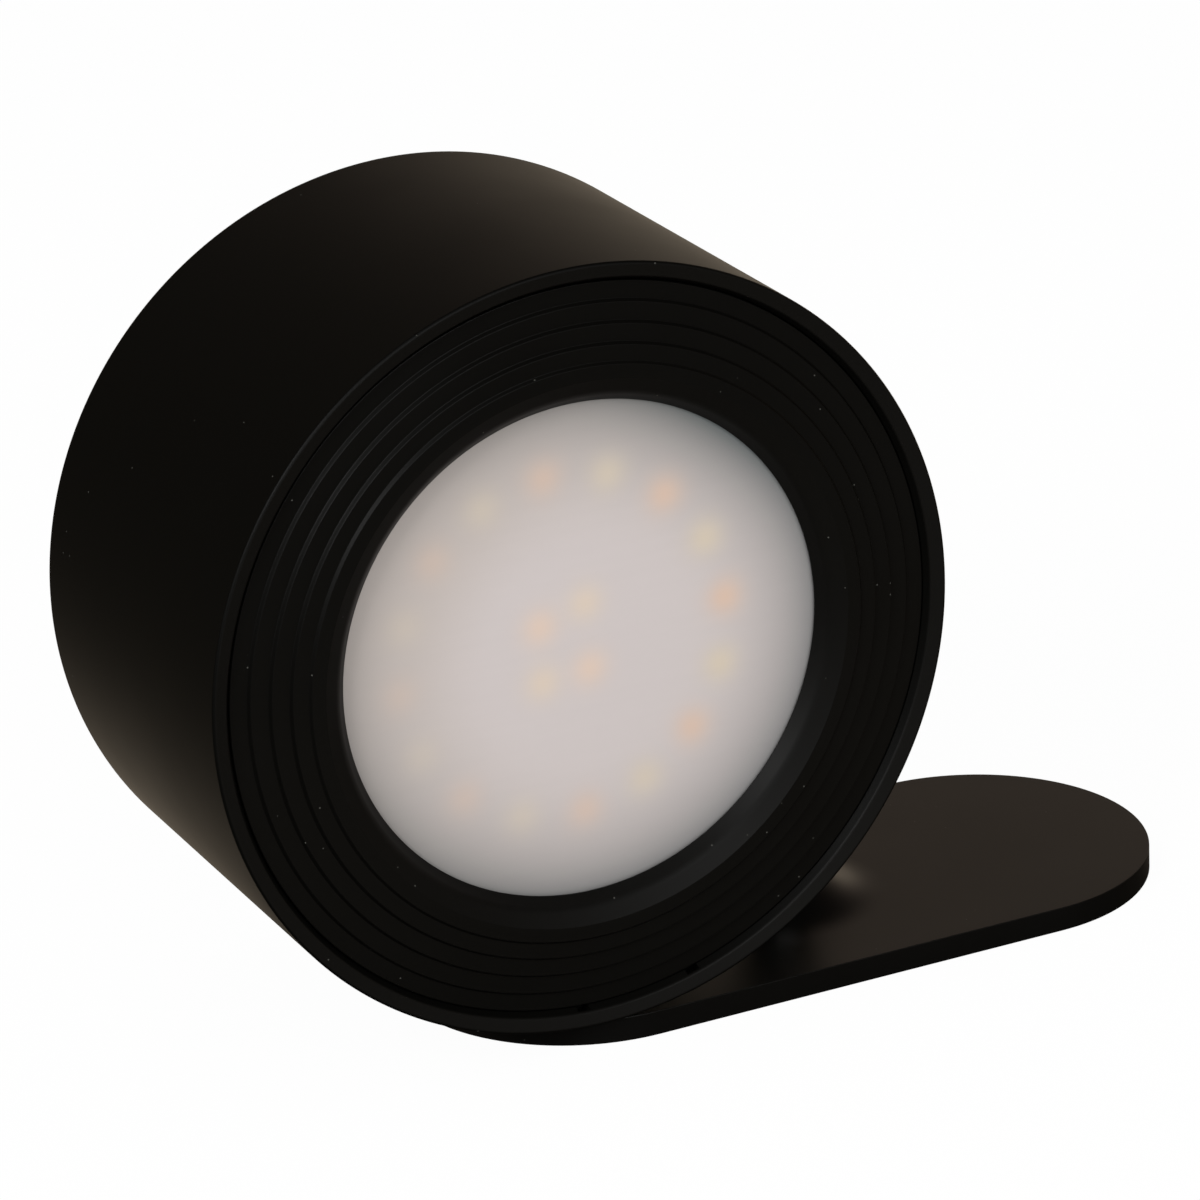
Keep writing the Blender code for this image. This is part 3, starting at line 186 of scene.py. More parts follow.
# Charging socket in the lamp's side, on the front of the control board
BOARD_FRONT = -36.6 * MM
PORT_ANGLE = math.radians(200)
PORT_WIDTH = 9.5 * MM
PORT_HEIGHT = 3.8 * MM
PORT_CUT_DEPTH = 4.0 * MM
LEAD_IN_WIDTH = 10.4 * MM
LEAD_IN_HEIGHT = 4.7 * MM
LEAD_IN_DEPTH = 0.4 * MM
USB_WIDTH = 8.9 * MM
USB_HEIGHT = 3.2 * MM
USB_WALL = 0.3 * MM
USB_LENGTH = 7.3 * MM
USB_SINK = 1.2 * MM
TONGUE_WIDTH = 6.0 * MM
TONGUE_HEIGHT = 0.7 * MM
TONGUE_ROOT = 0.35 * MM
TONGUE_SINK = 1.6 * MM
TONGUE_BEVEL = 0.1 * MM
TONGUE_BEVEL_STEPS = 2
CONTACTS = 12
CONTACT_PITCH = 0.45 * MM
CONTACT_WIDTH = 0.24 * MM
CONTACT_HEIGHT = 0.04 * MM
CONTACT_LEVEL = 0.37 * MM
CONTACT_ROOT = 0.5 * MM
CONTACT_SINK = 1.9 * MM

# Light pipe beside the socket
PIPE_OFFSET = 8.2 * MM
PIPE_RADIUS = 0.9 * MM
PIPE_LENGTH = 3.0 * MM
PIPE_SINK = 0.15 * MM
PIPE_FILLET = 0.15 * MM
PIPE_HOLE_RADIUS = 1.2 * MM
PIPE_EDGE_OFFSET = PIPE_OFFSET + PIPE_RADIUS

# Where the lamp and the plate stand in the frame
ball_low, ball_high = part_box("steel_ball")
BALL_CENTRE = (ball_low + ball_high) / 2
BALL_RADIUS = (ball_high - ball_low).z / 2
BALL_SEAT_RADIUS = BALL_RADIUS + FIT_GAP
slide = next(joint for joint in frame["joints"] if joint["type"] == "slide")
LEAN = math.atan2(-slide["axis"][0], slide["axis"][2])
ball_matrix = Matrix.Translation(BALL_CENTRE)
lean_matrix = ball_matrix @ Matrix.Rotation(-LEAN, 4, "Y")
to_front = Matrix.Translation((0, -SOCKET_FROM_FRONT, AXIS_REACH)) @ Matrix.Rotation(math.pi / 2, 4, "X")
front_matrix = lean_matrix @ to_front
USB_CENTRE_Z = BOARD_FRONT + FIT_GAP + USB_HEIGHT / 2
facing_out = Euler((math.pi / 2, 0, math.pi / 2)).to_matrix().to_4x4()
port_place = Matrix.Rotation(PORT_ANGLE, 4, "Z") @ Matrix.Translation((0, 0, USB_CENTRE_Z)) @ facing_out
pipe_place = port_place @ Matrix.Translation((PIPE_OFFSET, 0, 0))
plate_low, plate_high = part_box("base_plate")
pad_low, pad_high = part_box("adhesive_pad")


# Shader nodes
def math_node(tree, operation, first, second=None):
    """One arithmetic node. Its inputs are numbers or sockets."""
    node = tree.nodes.new("ShaderNodeMath")
    node.operation = operation
    for socket, value in zip(node.inputs, (first, second)):
        if isinstance(value, (int, float)):
            socket.default_value = value
        elif value is not None:
            tree.links.new(value, socket)
    return node.outputs["Value"]


def range_node(tree, value, start, end, low, high, smooth=False):
    """A value carried over from start and end to low and high."""
    node = tree.nodes.new("ShaderNodeMapRange")
    if smooth:
        node.interpolation_type = "SMOOTHSTEP"
    node.inputs["From Min"].default_value = start
    node.inputs["From Max"].default_value = end
    node.inputs["To Min"].default_value = low
    node.inputs["To Max"].default_value = high
    tree.links.new(value, node.inputs["Value"])
    return node.outputs["Result"]


def ramp_node(tree, value, start, end, low, high):
    """Smooth step of a value, from low at start to high at end."""
    return range_node(tree, value, start, end, low, high, smooth=True)


def mix_node(tree, share, first, second):
    """Blend of two colours or two numbers, each given plainly or as a socket."""
    node = tree.nodes.new("ShaderNodeMix")
    numbers = isinstance(first, float) or isinstance(second, float)
    node.data_type = "FLOAT" if numbers else "RGBA"
    for name, value in (("Factor", share), ("A", first), ("B", second)):
        if isinstance(value, bpy.types.NodeSocket):
            tree.links.new(value, node.inputs[name])
        else:
            node.inputs[name].default_value = (*value, 1) if isinstance(value, (tuple, list)) else value
    return node.outputs["Result"]


def noise_node(tree, vector, scale, detail):
    node = tree.nodes.new("ShaderNodeTexNoise")
    node.inputs["Scale"].default_value = scale
    node.inputs["Detail"].default_value = detail
    tree.links.new(vector, node.inputs["Vector"])
    return node.outputs["Fac"]


def stretched(tree, place, scale):
    """Object coordinates, scaled along each axis."""
    node = tree.nodes.new("ShaderNodeMapping")
    node.inputs["Scale"].default_value = scale
    tree.links.new(place.outputs["Object"], node.inputs["Vector"])
    return node.outputs["Vector"]


def lamp_coordinates(tree, place):
    """X, Y and Z from the middle of the lamp's front, Z out of it."""
    own = tree.nodes.new("ShaderNodeMapping")
    inverse = front_matrix.inverted()
    own.inputs["Location"].default_value = inverse.translation
    own.inputs["Rotation"].default_value = inverse.to_euler()
    tree.links.new(place.outputs["Object"], own.inputs["Vector"])
    split = tree.nodes.new("ShaderNodeSeparateXYZ")
    tree.links.new(own.outputs["Vector"], split.inputs["Vector"])
    return split.outputs["X"], split.outputs["Y"], split.outputs["Z"]


def square_sum(tree, x, y):
    """Square of the distance from zero."""
    return math_node(tree, "ADD", math_node(tree, "MULTIPLY", x, x), math_node(tree, "MULTIPLY", y, y))


def polar_nodes(tree, x, y):
    """Distance from zero, and the angle."""
    return math_node(tree, "SQRT", square_sum(tree, x, y)), math_node(tree, "ARCTAN2", y, x)


def turn_node(tree, angle, middle):
    """Cosine of the angle from a middle direction."""
    return math_node(tree, "COSINE", math_node(tree, "SUBTRACT", angle, middle))


def lobe_node(tree, angle, middle, sharpness):
    """One in the middle direction, and falling off round it."""
    drop = math_node(tree, "SUBTRACT", turn_node(tree, angle, middle), 1.0)
    return math_node(tree, "EXPONENT", math_node(tree, "MULTIPLY", drop, sharpness))


def spot_node(tree, across, up, blur):
    """Soft round spot round zero: a bell curve of the distance."""
    spread = square_sum(tree, across, up)
    return math_node(tree, "EXPONENT", math_node(tree, "MULTIPLY", spread, -0.5 / blur**2))


# Finishes
MOTTLE_DETAIL = 4.0
ROUGH_FROM, ROUGH_TO = 0.3, 0.7
RIM_EDGE_START, RIM_EDGE_END = 39.68 * MM, 39.86 * MM
RIM_LAND_START, RIM_LAND_END = -0.70 * MM, -0.46 * MM
FUNNEL_START, FUNNEL_END = 28.3 * MM, 28.7 * MM
GRAIN_DETAIL = 2.0
GRAIN_DEPTH = 0.02 * MM
DUST_SCALE = 520.0
DUST_CORE, DUST_EDGE = 0.035, 0.050
DUST_COLOUR = (0.08, 0.08, 0.07)


def principled(name):
    """New material, its tree, its main shader and a node with its coordinates."""
    made = bpy.data.materials.new(name)
    made.use_nodes = True
    tree = made.node_tree
    return made, tree, tree.nodes["Principled BSDF"], tree.nodes.new("ShaderNodeTexCoord")


def finish(
    name,
    colour,
    roughness,
    metallic=0.0,
    specular=0.5,
    mottle=0.12,
    mottle_scale=60.0,
    rough_spread=0.05,
    grain=0.0,
    grain_scale=4000.0,
    dust=0.0,
    stretch=(1, 1, 1),
    rim_sheen_colour=None,
    funnel_roughness=None,
):
    """Procedural finish: mottled colour and roughness, a fine grain as bump, and sparse pale dust.

    The housing's rim can carry a painted sheen, a tone paler than its side, and the bezel's funnel is rougher than
    its terraces.
    """
    made, tree, shader, place = principled(name)
    shader.inputs["Metallic"].default_value = metallic
    shader.inputs["Specular IOR Level"].default_value = specular
    vector = stretched(tree, place, stretch)

    cloud = noise_node(tree, vector, mottle_scale, MOTTLE_DETAIL)
    darker = [channel * (1 - mottle) for channel in colour]
    lighter = [min(1.0, channel * (1 + mottle)) for channel in colour]
    tone = mix_node(tree, cloud, darker, lighter)
    rough = range_node(tree, cloud, ROUGH_FROM, ROUGH_TO, roughness - rough_spread, roughness + rough_spread)

    if rim_sheen_colour or funnel_roughness:
        x, y, z = lamp_coordinates(tree, place)
        radius = polar_nodes(tree, x, y)[0]
    # Painted sheen: a paler tone on the rim's front land and lip, inside its outer edge
    if rim_sheen_colour:
        inside = ramp_node(tree, radius, RIM_EDGE_START, RIM_EDGE_END, 1.0, 0.0)
        ahead = ramp_node(tree, z, RIM_LAND_START, RIM_LAND_END, 0.0, 1.0)
        tone = mix_node(tree, math_node(tree, "MULTIPLY", inside, ahead), tone, rim_sheen_colour)
    if funnel_roughness:
        extra = ramp_node(tree, radius, FUNNEL_START, FUNNEL_END, funnel_roughness - roughness, 0.0)
        rough = math_node(tree, "ADD", rough, extra)
    tree.links.new(rough, shader.inputs["Roughness"])

    if grain:
        bump = tree.nodes.new("ShaderNodeBump")
        bump.inputs["Strength"].default_value = grain
        bump.inputs["Distance"].default_value = GRAIN_DEPTH
        tree.links.new(noise_node(tree, vector, grain_scale, GRAIN_DETAIL), bump.inputs["Height"])
        tree.links.new(bump.outputs["Normal"], shader.inputs["Normal"])

    if dust:
        cells = tree.nodes.new("ShaderNodeTexVoronoi")
        cells.inputs["Scale"].default_value = DUST_SCALE
        tree.links.new(place.outputs["Object"], cells.inputs["Vector"])
        speck = range_node(tree, cells.outputs["Distance"], DUST_CORE, DUST_EDGE, 1.0, 0.0)
        chance = tree.nodes.new("ShaderNodeSeparateColor")
        tree.links.new(cells.outputs["Color"], chance.inputs["Color"])
        rare = math_node(tree, "LESS_THAN", chance.outputs["Red"], dust)
        tone = mix_node(tree, math_node(tree, "MULTIPLY", speck, rare), tone, DUST_COLOUR)

    tree.links.new(tone, shader.inputs["Base Color"])
    return made


# Opal window's look
OPAL_ROUGHNESS = 0.45
OPAL_SPECULAR = 0.2
OPAL_CENTRE = (0.685, 0.620, 0.605)
OPAL_RIM_SHADE = (0.124, 0.147, 0.157)
RIM_SHADE_START = 11.0 * MM
RIM_SHADE_POWER = 2.5
RIM_SHADE_AMOUNT = 0.72
RIM_SHADE_LOBES = (
    (math.radians(12), 7.0, 0.36),
    (math.radians(110), 1.5, -0.42),
    (math.radians(192), 3.0, 0.12),
)
WARM_SHADE_ANGLE = math.radians(107)
WARM_SHADE_SHARPNESS = 0.8
WARM_SHADE_START = 9.0 * MM
WARM_SHADE_END = 19.0 * MM
WARM_SHADE_SHARE = 0.17
WARM_SHADE_TINT = (0.30, 0.22, 0.08)
LED_CENTRE = (-0.85 * MM, 1.81 * MM)
LED_CIRCLE = 17.85 * MM
LED_PHASE = math.radians(7.0)
LED_COUNT = 16
LED_PITCH = math.tau / LED_COUNT
LED_STRONG_ANGLE = math.radians(325)
LED_STRENGTH = 0.51
LED_STRENGTH_SWING = 0.28
LED_BLUR = 1.38 * MM
LED_WARM_TINT = (0.80, 0.57, 0.43)
LED_COOL_TINT = (0.75, 0.64, 0.49)
INNER_LED_STRENGTH = 0.55
INNER_WARM_TINT = (0.885, 0.645, 0.475)
INNER_COOL_TINT = (0.848, 0.679, 0.502)
INNER_LEDS = (
    (INNER_WARM_TINT, -1.04 * MM, 5.32 * MM),
    (INNER_WARM_TINT, -0.85 * MM, -2.15 * MM),
    (INNER_COOL_TINT, 3.69 * MM, 3.09 * MM),
    (INNER_COOL_TINT, -4.96 * MM, 1.01 * MM),
)
MIST_SCALE = 220.0
MIST_DETAIL = 5.0
MIST_STRETCH = (0.35, 0.35, 5.0)
MIST_LOW, MIST_HIGH = 0.985, 1.015


def opal_finish():
    """Milky window: warm white in the middle, darkened towards its rim by painted shade, with faint LEDs behind
    it.
    """
    made, tree, shader, place = principled("opal_window")
    shader.inputs["Roughness"].default_value = OPAL_ROUGHNESS
    shader.inputs["Specular IOR Level"].default_value = OPAL_SPECULAR
    x, y = lamp_coordinates(tree, place)[:2]
    radius, angle = polar_nodes(tree, x, y)

    # Painted rim shade: deeper in one narrow direction, and shallower in a broad one
    past = math_node(tree, "SUBTRACT", radius, RIM_SHADE_START)
    share = math_node(tree, "DIVIDE", past, WINDOW_RADIUS - RIM_SHADE_START)
    fall = math_node(tree, "POWER", math_node(tree, "MAXIMUM", share, 0.0), RIM_SHADE_POWER)
    amount = RIM_SHADE_AMOUNT
    for middle, sharpness, extra in RIM_SHADE_LOBES:
        lobe = lobe_node(tree, angle, middle, sharpness)
        amount = math_node(tree, "ADD", math_node(tree, "MULTIPLY", lobe, extra), amount)
    shade = math_node(tree, "MINIMUM", math_node(tree, "MULTIPLY", fall, amount), 1.0)
    tone = mix_node(tree, shade, OPAL_CENTRE, OPAL_RIM_SHADE)

    # Painted warm shade: warmer and a little darker outwards, most on one side
    lobe = lobe_node(tree, angle, WARM_SHADE_ANGLE, WARM_SHADE_SHARPNESS)
    reach = ramp_node(tree, radius, WARM_SHADE_START, WARM_SHADE_END, 0.0, WARM_SHADE_SHARE)
    tone = mix_node(tree, math_node(tree, "MULTIPLY", reach, lobe), tone, WARM_SHADE_TINT)

    # Ring of LEDs, warm and cool by turns, strongest on one side
    ring_x = math_node(tree, "SUBTRACT", x, LED_CENTRE[0])
    ring_y = math_node(tree, "SUBTRACT", y, LED_CENTRE[1])
    ring_radius, ring_angle = polar_nodes(tree, ring_x, ring_y)
    turned = math_node(tree, "ADD", ring_angle, math.tau - LED_PHASE)
    index = math_node(tree, "ROUND", math_node(tree, "DIVIDE", turned, LED_PITCH))
    offset = math_node(tree, "SUBTRACT", turned, math_node(tree, "MULTIPLY", index, LED_PITCH))
    along = math_node(tree, "MULTIPLY", offset, LED_CIRCLE)
    across = math_node(tree, "SUBTRACT", ring_radius, LED_CIRCLE)
    swing = math_node(tree, "MULTIPLY", turn_node(tree, ring_angle, LED_STRONG_ANGLE), LED_STRENGTH_SWING)
    strength = math_node(tree, "ADD", swing, LED_STRENGTH)
    glow = math_node(tree, "MULTIPLY", spot_node(tree, along, across, LED_BLUR), strength)
    cool = math_node(tree, "MODULO", index, 2.0)
    warm = math_node(tree, "SUBTRACT", 1.0, cool)
    tone = mix_node(tree, math_node(tree, "MULTIPLY", glow, warm), tone, LED_WARM_TINT)
    tone = mix_node(tree, math_node(tree, "MULTIPLY", glow, cool), tone, LED_COOL_TINT)

    # Four LEDs in the middle
    for tint, right, up in INNER_LEDS:
        across = math_node(tree, "SUBTRACT", x, right)
        glow = spot_node(tree, across, math_node(tree, "SUBTRACT", y, up), LED_BLUR)
        tone = mix_node(tree, math_node(tree, "MULTIPLY", glow, INNER_LED_STRENGTH), tone, tint)

    # Faint mist with fine moulding lines
    mist = noise_node(tree, stretched(tree, place, MIST_STRETCH), MIST_SCALE, MIST_DETAIL)
    scaled = tree.nodes.new("ShaderNodeVectorMath")
    scaled.operation = "SCALE"
    tree.links.new(tone, scaled.inputs[0])
    tree.links.new(range_node(tree, mist, 0.0, 1.0, MIST_LOW, MIST_HIGH), scaled.inputs["Scale"])
    tree.links.new(scaled.outputs["Vector"], shader.inputs["Base Color"])
    return made


mats = {
    "housing": finish(
        "matt_black_shell", (0.0019, 0.0018, 0.0013), 0.48,
        specular=0.15, mottle=0.10, rough_spread=0.015, grain=0.10, dust=0.25,
        # Paler rim: a painted sheen
        rim_sheen_colour=(0.0044, 0.0041, 0.0034),
    ),
    "bezel": finish(
        "satin_black_bezel", (0.0030, 0.0028, 0.0022), 0.44,
        specular=0.16, rough_spread=0.02, grain=0.16, dust=0.5, funnel_roughness=0.50,
    ),
    "plate": finish(
        "satin_black_steel", (0.0014, 0.0013, 0.0010), 0.38,
        specular=0.45, mottle=0.08, rough_spread=0.015, grain=0.05, dust=0.25,
    ),
    "opal": opal_finish(),
    "foam": finish(
        "grey_foam", (0.15, 0.15, 0.15), 0.9,
        specular=0.2, mottle=0.25, mottle_scale=900.0, grain=0.6, grain_scale=1500.0,
    ),
    "steel": finish("zinc_steel", (0.58, 0.58, 0.56), 0.32, metallic=1.0, grain=0.05, stretch=(1, 1, 12)),
    "ball": finish(
        "black_nickel_ball", (0.085, 0.082, 0.078), 0.20, metallic=1.0, mottle=0.04, rough_spread=0.03,
    ),
    "cup": finish("blackened_steel", (0.055, 0.053, 0.050), 0.38, metallic=1.0, grain=0.05),
    "touch": finish(
        "brushed_touch_plate", (0.20, 0.20, 0.20), 0.30, metallic=1.0, grain=0.10, stretch=(1, 14, 1),
    ),
    "clear": finish("clear_pipe", (0.72, 0.74, 0.76), 0.12, mottle=0.05, rough_spread=0.02),
    "gold": finish("gold_contact", (0.83, 0.62, 0.27), 0.22, metallic=1.0, mottle=0.05),
    "tongue": finish("black_tongue", (0.02, 0.02, 0.02), 0.45, grain=0.05),
    "white": finish("white_moulding", (0.82, 0.82, 0.80), 0.42, mottle=0.03, grain=0.08),
    "board_white": finish("white_board", (0.78, 0.78, 0.75), 0.45, mottle=0.04, grain=0.05),
    "led_warm": finish("warm_led", (0.85, 0.42, 0.10), 0.3, mottle=0.05),
    "led_cool": finish("cool_led", (0.86, 0.74, 0.22), 0.3, mottle=0.05),
    "screw": finish("black_screw", (0.06, 0.06, 0.06), 0.36, metallic=1.0),
    "grey": finish("grey_moulding", (0.11, 0.11, 0.11), 0.55, grain=0.1),
    "battery": finish("battery_sleeve", (0.05, 0.17, 0.40), 0.34, mottle=0.06),
    "green": finish("green_board", (0.02, 0.14, 0.06), 0.4, mottle=0.15, mottle_scale=400.0),
    "chip": finish("black_chip", (0.02, 0.02, 0.02), 0.42, grain=0.1),
    "cream": finish("cream_connector", (0.74, 0.69, 0.56), 0.48, mottle=0.04),
    "magnet": finish("nickel_magnet", (0.62, 0.60, 0.55), 0.18, metallic=1.0, mottle=0.05),
    "yellow": finish("yellow_lead", (0.68, 0.48, 0.05), 0.42, mottle=0.05),
    "pale": finish("white_lead", (0.72, 0.72, 0.72), 0.42, mottle=0.05),
    "red": finish("red_lead", (0.52, 0.03, 0.03), 0.42, mottle=0.05),
    "dark": finish("black_lead", (0.02, 0.02, 0.02), 0.42, mottle=0.05),
}

NODE_FINISHES = {
    "zinc_steel": "steel",
    "white_moulding": "white",
    "white_board": "board_white",
    "led_warm": "led_warm",
    "led_cool": "led_cool",
    "black_screw": "screw",
    "grey_moulding": "grey",
    "battery_sleeve": "battery",
    "green_board": "green",
    "black_chip": "chip",
    "cream_connector": "cream",
    "magnet_nickel": "magnet",
    "lead_yellow": "yellow",
    "lead_white": "pale",
    "lead_red": "red",
    "lead_black": "dark",
    "plate_steel": "plate",
    "pad_foam": "foam",
    "ball_steel": "ball",
    "blackened_steel": "cup",
    "housing_shell": "housing",
    "bezel_shell": "bezel",
    "opal_window": "opal",
    "clear_pipe": "clear",
    "touch_metal": "touch",
}


def dress_nodes():
    """Gives each solid the finish of its material slot."""
    for entry in frame["record"]["subparts"]:
        node = frame["nodes"][entry["node"]]
        node.data.materials.clear()
        node.data.materials.append(mats[NODE_FINISHES[entry["material_slot"]]])


# Mesh helpers
FILLET_REACH_SHARE = 0.49
PROFILE_TOLERANCE = 0.012 * MM
PROFILE_LEAST_DOT = 0.86


def filleted(corners, steps):
    """Line of (radius, height, fillet) corners, made into segments (a, b, normal at a, normal at b)."""
    points = [Vector(corner[:2]) for corner in corners]
    segments = []
    start = points[0]
    for index in range(1, len(points) - 1):
        before, here, after = points[index - 1], points[index], points[index + 1]
        fillet = corners[index][2]
        if fillet <= 0:
            segments.append((start, here, None))
            start = here
            continue
        back, ahead = (before - here).normalized(), (after - here).normalized()
        half = back.angle(ahead) / 2
        shortest = min((before - here).length, (after - here).length)
        reach = min(fillet / math.tan(half), shortest * FILLET_REACH_SHARE)
        first, last = here + back * reach, here + ahead * reach
        centre = here + (back + ahead).normalized() * reach / math.cos(half)
        segments.append((start, first, None))
        spoke = first - centre
        turn = spoke.angle_signed(last - centre)
        previous = first
        for step in range(1, steps + 1):
            rotated = spoke.copy()
            rotated.rotate(Matrix.Rotation(-turn * step / steps, 2))
            point = centre + rotated
            segments.append((previous, point, centre))
            previous = point
        start = last
    segments.append((start, points[-1], None))
    made = []
    for a, b, centre in segments:
        if (b - a).length < NO_LENGTH:
            continue
        if centre is None:
            along = (b - a).normalized()
            normal = Vector((along.y, -along.x))
            made.append((a, b, normal, normal))
        else:
            made.append((a, b, (a - centre).normalized(), (b - centre).normalized()))
    return made


def named(name, bm):
    """Makes an object of a mesh that has been built."""
    mesh = bpy.data.meshes.new(name)
    bm.to_mesh(mesh)
    bm.free()
    piece = bpy.data.objects.new(name, mesh)
    bpy.context.scene.collection.objects.link(piece)
    return piece


def revolve(name, segments, count, closed=False):
    """Turns a profile round Z. An open profile starts and ends on the axis."""
    bm = bmesh.new()
    line = [segments[0][0]] + [segment[1] for segment in segments]
    if closed:
        line.pop()
    points = [bm.verts.new((max(point.x, 0.0), 0, point.y)) for point in line]
    pairs = list(zip(points, points[1:])) + ([(points[-1], points[0])] if closed else [])
    edges = [bm.edges.new(pair) for pair in pairs]
    bmesh.ops.spin(
        bm, geom=points + edges, cent=(0, 0, 0), axis=(0, 0, 1), angle=math.tau, steps=count, use_merge=True,
    )
    bmesh.ops.remove_doubles(bm, verts=bm.verts, dist=MERGE_DISTANCE)
    flat = []
    for hub in bm.verts:
        if hub.co.xy.length < MERGE_DISTANCE and abs(hub.normal.z) > 0:
            rims = [edge.other_vert(hub) for edge in hub.link_edges]
            if all(abs(rim.co.z - hub.co.z) < MERGE_DISTANCE for rim in rims):
                flat.append(hub)
    bmesh.ops.dissolve_verts(bm, verts=flat)
    bmesh.ops.recalc_face_normals(bm, faces=bm.faces)
    return named(name, bm)


def turned_normals(piece, segments):
    """Gives each corner of a turned mesh its profile's true normal, so that cuts don't dent the shading."""
    mesh = piece.data
    mesh.shade_smooth()
    mesh.set_sharp_from_angle(angle=TURNED_CREASE)
    a, b, na, nb = (np.array([segment[part][:] for segment in segments]) for part in range(4))
    span = b - a
    length = (span**2).sum(1)
    places = np.array([v.co[:] for v in mesh.vertices])
    result = [tuple(normal.vector) for normal in mesh.corner_normals]
    for face in mesh.polygons:
        for corner in face.loop_indices:
            x, y, z = places[mesh.loops[corner].vertex_index]
            radius = math.hypot(x, y)
            if radius < NO_RADIUS:
                continue
            offset = np.array((radius, z)) - a
            share = np.clip((offset * span).sum(1) / length, 0, 1)
            gap = np.abs(offset - span * share[:, None]).max(1)
            best, best_dot = None, PROFILE_LEAST_DOT
            for index in np.nonzero(gap < PROFILE_TOLERANCE)[0]:
                flat = na[index] * (1 - share[index]) + nb[index] * share[index]
                candidate = Vector((flat[0] * x / radius, flat[0] * y / radius, flat[1])).normalized()
                dot = candidate.dot(face.normal)
                if abs(dot) > best_dot:
                    best, best_dot = candidate * math.copysign(1, dot), abs(dot)
            if best:
                result[corner] = tuple(best)
    mesh.normals_split_custom_set(result)


def turned(name, corners, count, steps=FILLET_STEPS):
    """A turned piece with true normals, for what isn't cut afterwards."""
    profile = filleted(corners, steps)
    piece = revolve(name, profile, count)
    turned_normals(piece, profile)
    return piece


def carve(piece, cutters, operation="DIFFERENCE"):
    """Applies exact booleans, with the cutters placed in the piece's own space."""
    for cutter in cutters:
        modifier = piece.modifiers.new("cut", "BOOLEAN")
        modifier.operation = operation
        modifier.solver = "EXACT"
        modifier.object = cutter
    bpy.context.view_layer.update()
    graph = bpy.context.evaluated_depsgraph_get()
    mesh = bpy.data.meshes.new_from_object(piece.evaluated_get(graph))
    piece.modifiers.clear()
    piece.data = mesh
    for cutter in cutters:
        bpy.data.objects.remove(cutter)


def prism(name, outline, bottom, top, place=None):
    """Outline extruded from bottom to top, along Z of its place."""
    bm = bmesh.new()
    floor = bm.faces.new([bm.verts.new((x, y, bottom)) for x, y in outline])
    raised = bmesh.ops.extrude_face_region(bm, geom=[floor])["geom"]
    corners = [item for item in raised if isinstance(item, bmesh.types.BMVert)]
    bmesh.ops.translate(bm, verts=corners, vec=(0, 0, top - bottom))
    bmesh.ops.recalc_face_normals(bm, faces=bm.faces)
    piece = named(name, bm)
    if place is not None:
        piece.matrix_world = place
    return piece


def circle(radius, count):
    turns = [math.tau * k / count for k in range(count)]
    return [(radius * math.cos(turn), radius * math.sin(turn)) for turn in turns]


def arc(radius, start, end, steps, centre=(0, 0)):
    turns = [start + (end - start) * step / steps for step in range(steps + 1)]
    return [(centre[0] + radius * math.cos(turn), centre[1] + radius * math.sin(turn)) for turn in turns]


def stadium(length, width, steps):
    """Outline with straight sides and half-round ends."""
    radius = width / 2
    reach = length / 2 - radius
    right = arc(radius, -math.pi / 2, math.pi / 2, steps, (reach, 0))
    return right + arc(radius, math.pi / 2, 3 * math.pi / 2, steps, (-reach, 0))


def sector(inner, outer, middle, width, steps):
    """Outline of a stretch of a ring. Its width runs along the outer radius."""
    half = width / outer / 2
    return arc(outer, middle - half, middle + half, steps) + arc(inner, middle + half, middle - half, steps)


def block(width, height, centre=(0, 0)):
    (x, y), across, up = centre, width / 2, height / 2
    return [(x - across, y - up), (x + across, y - up), (x + across, y + up), (x - across, y + up)]


def dress(piece, material, body, replaced=(), matrix=None, smooth=None):
    """Gives a piece its material and place, ties it to its body, and hides the nodes that it stands for."""
    piece.data.materials.clear()
    piece.data.materials.append(mats[material])
    if smooth is not None:
        piece.data.shade_smooth()
        piece.data.set_sharp_from_angle(angle=smooth)
    if matrix is not None:
        piece.data.transform(matrix)
    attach(piece, body)
    if replaced:
        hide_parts(*replaced)


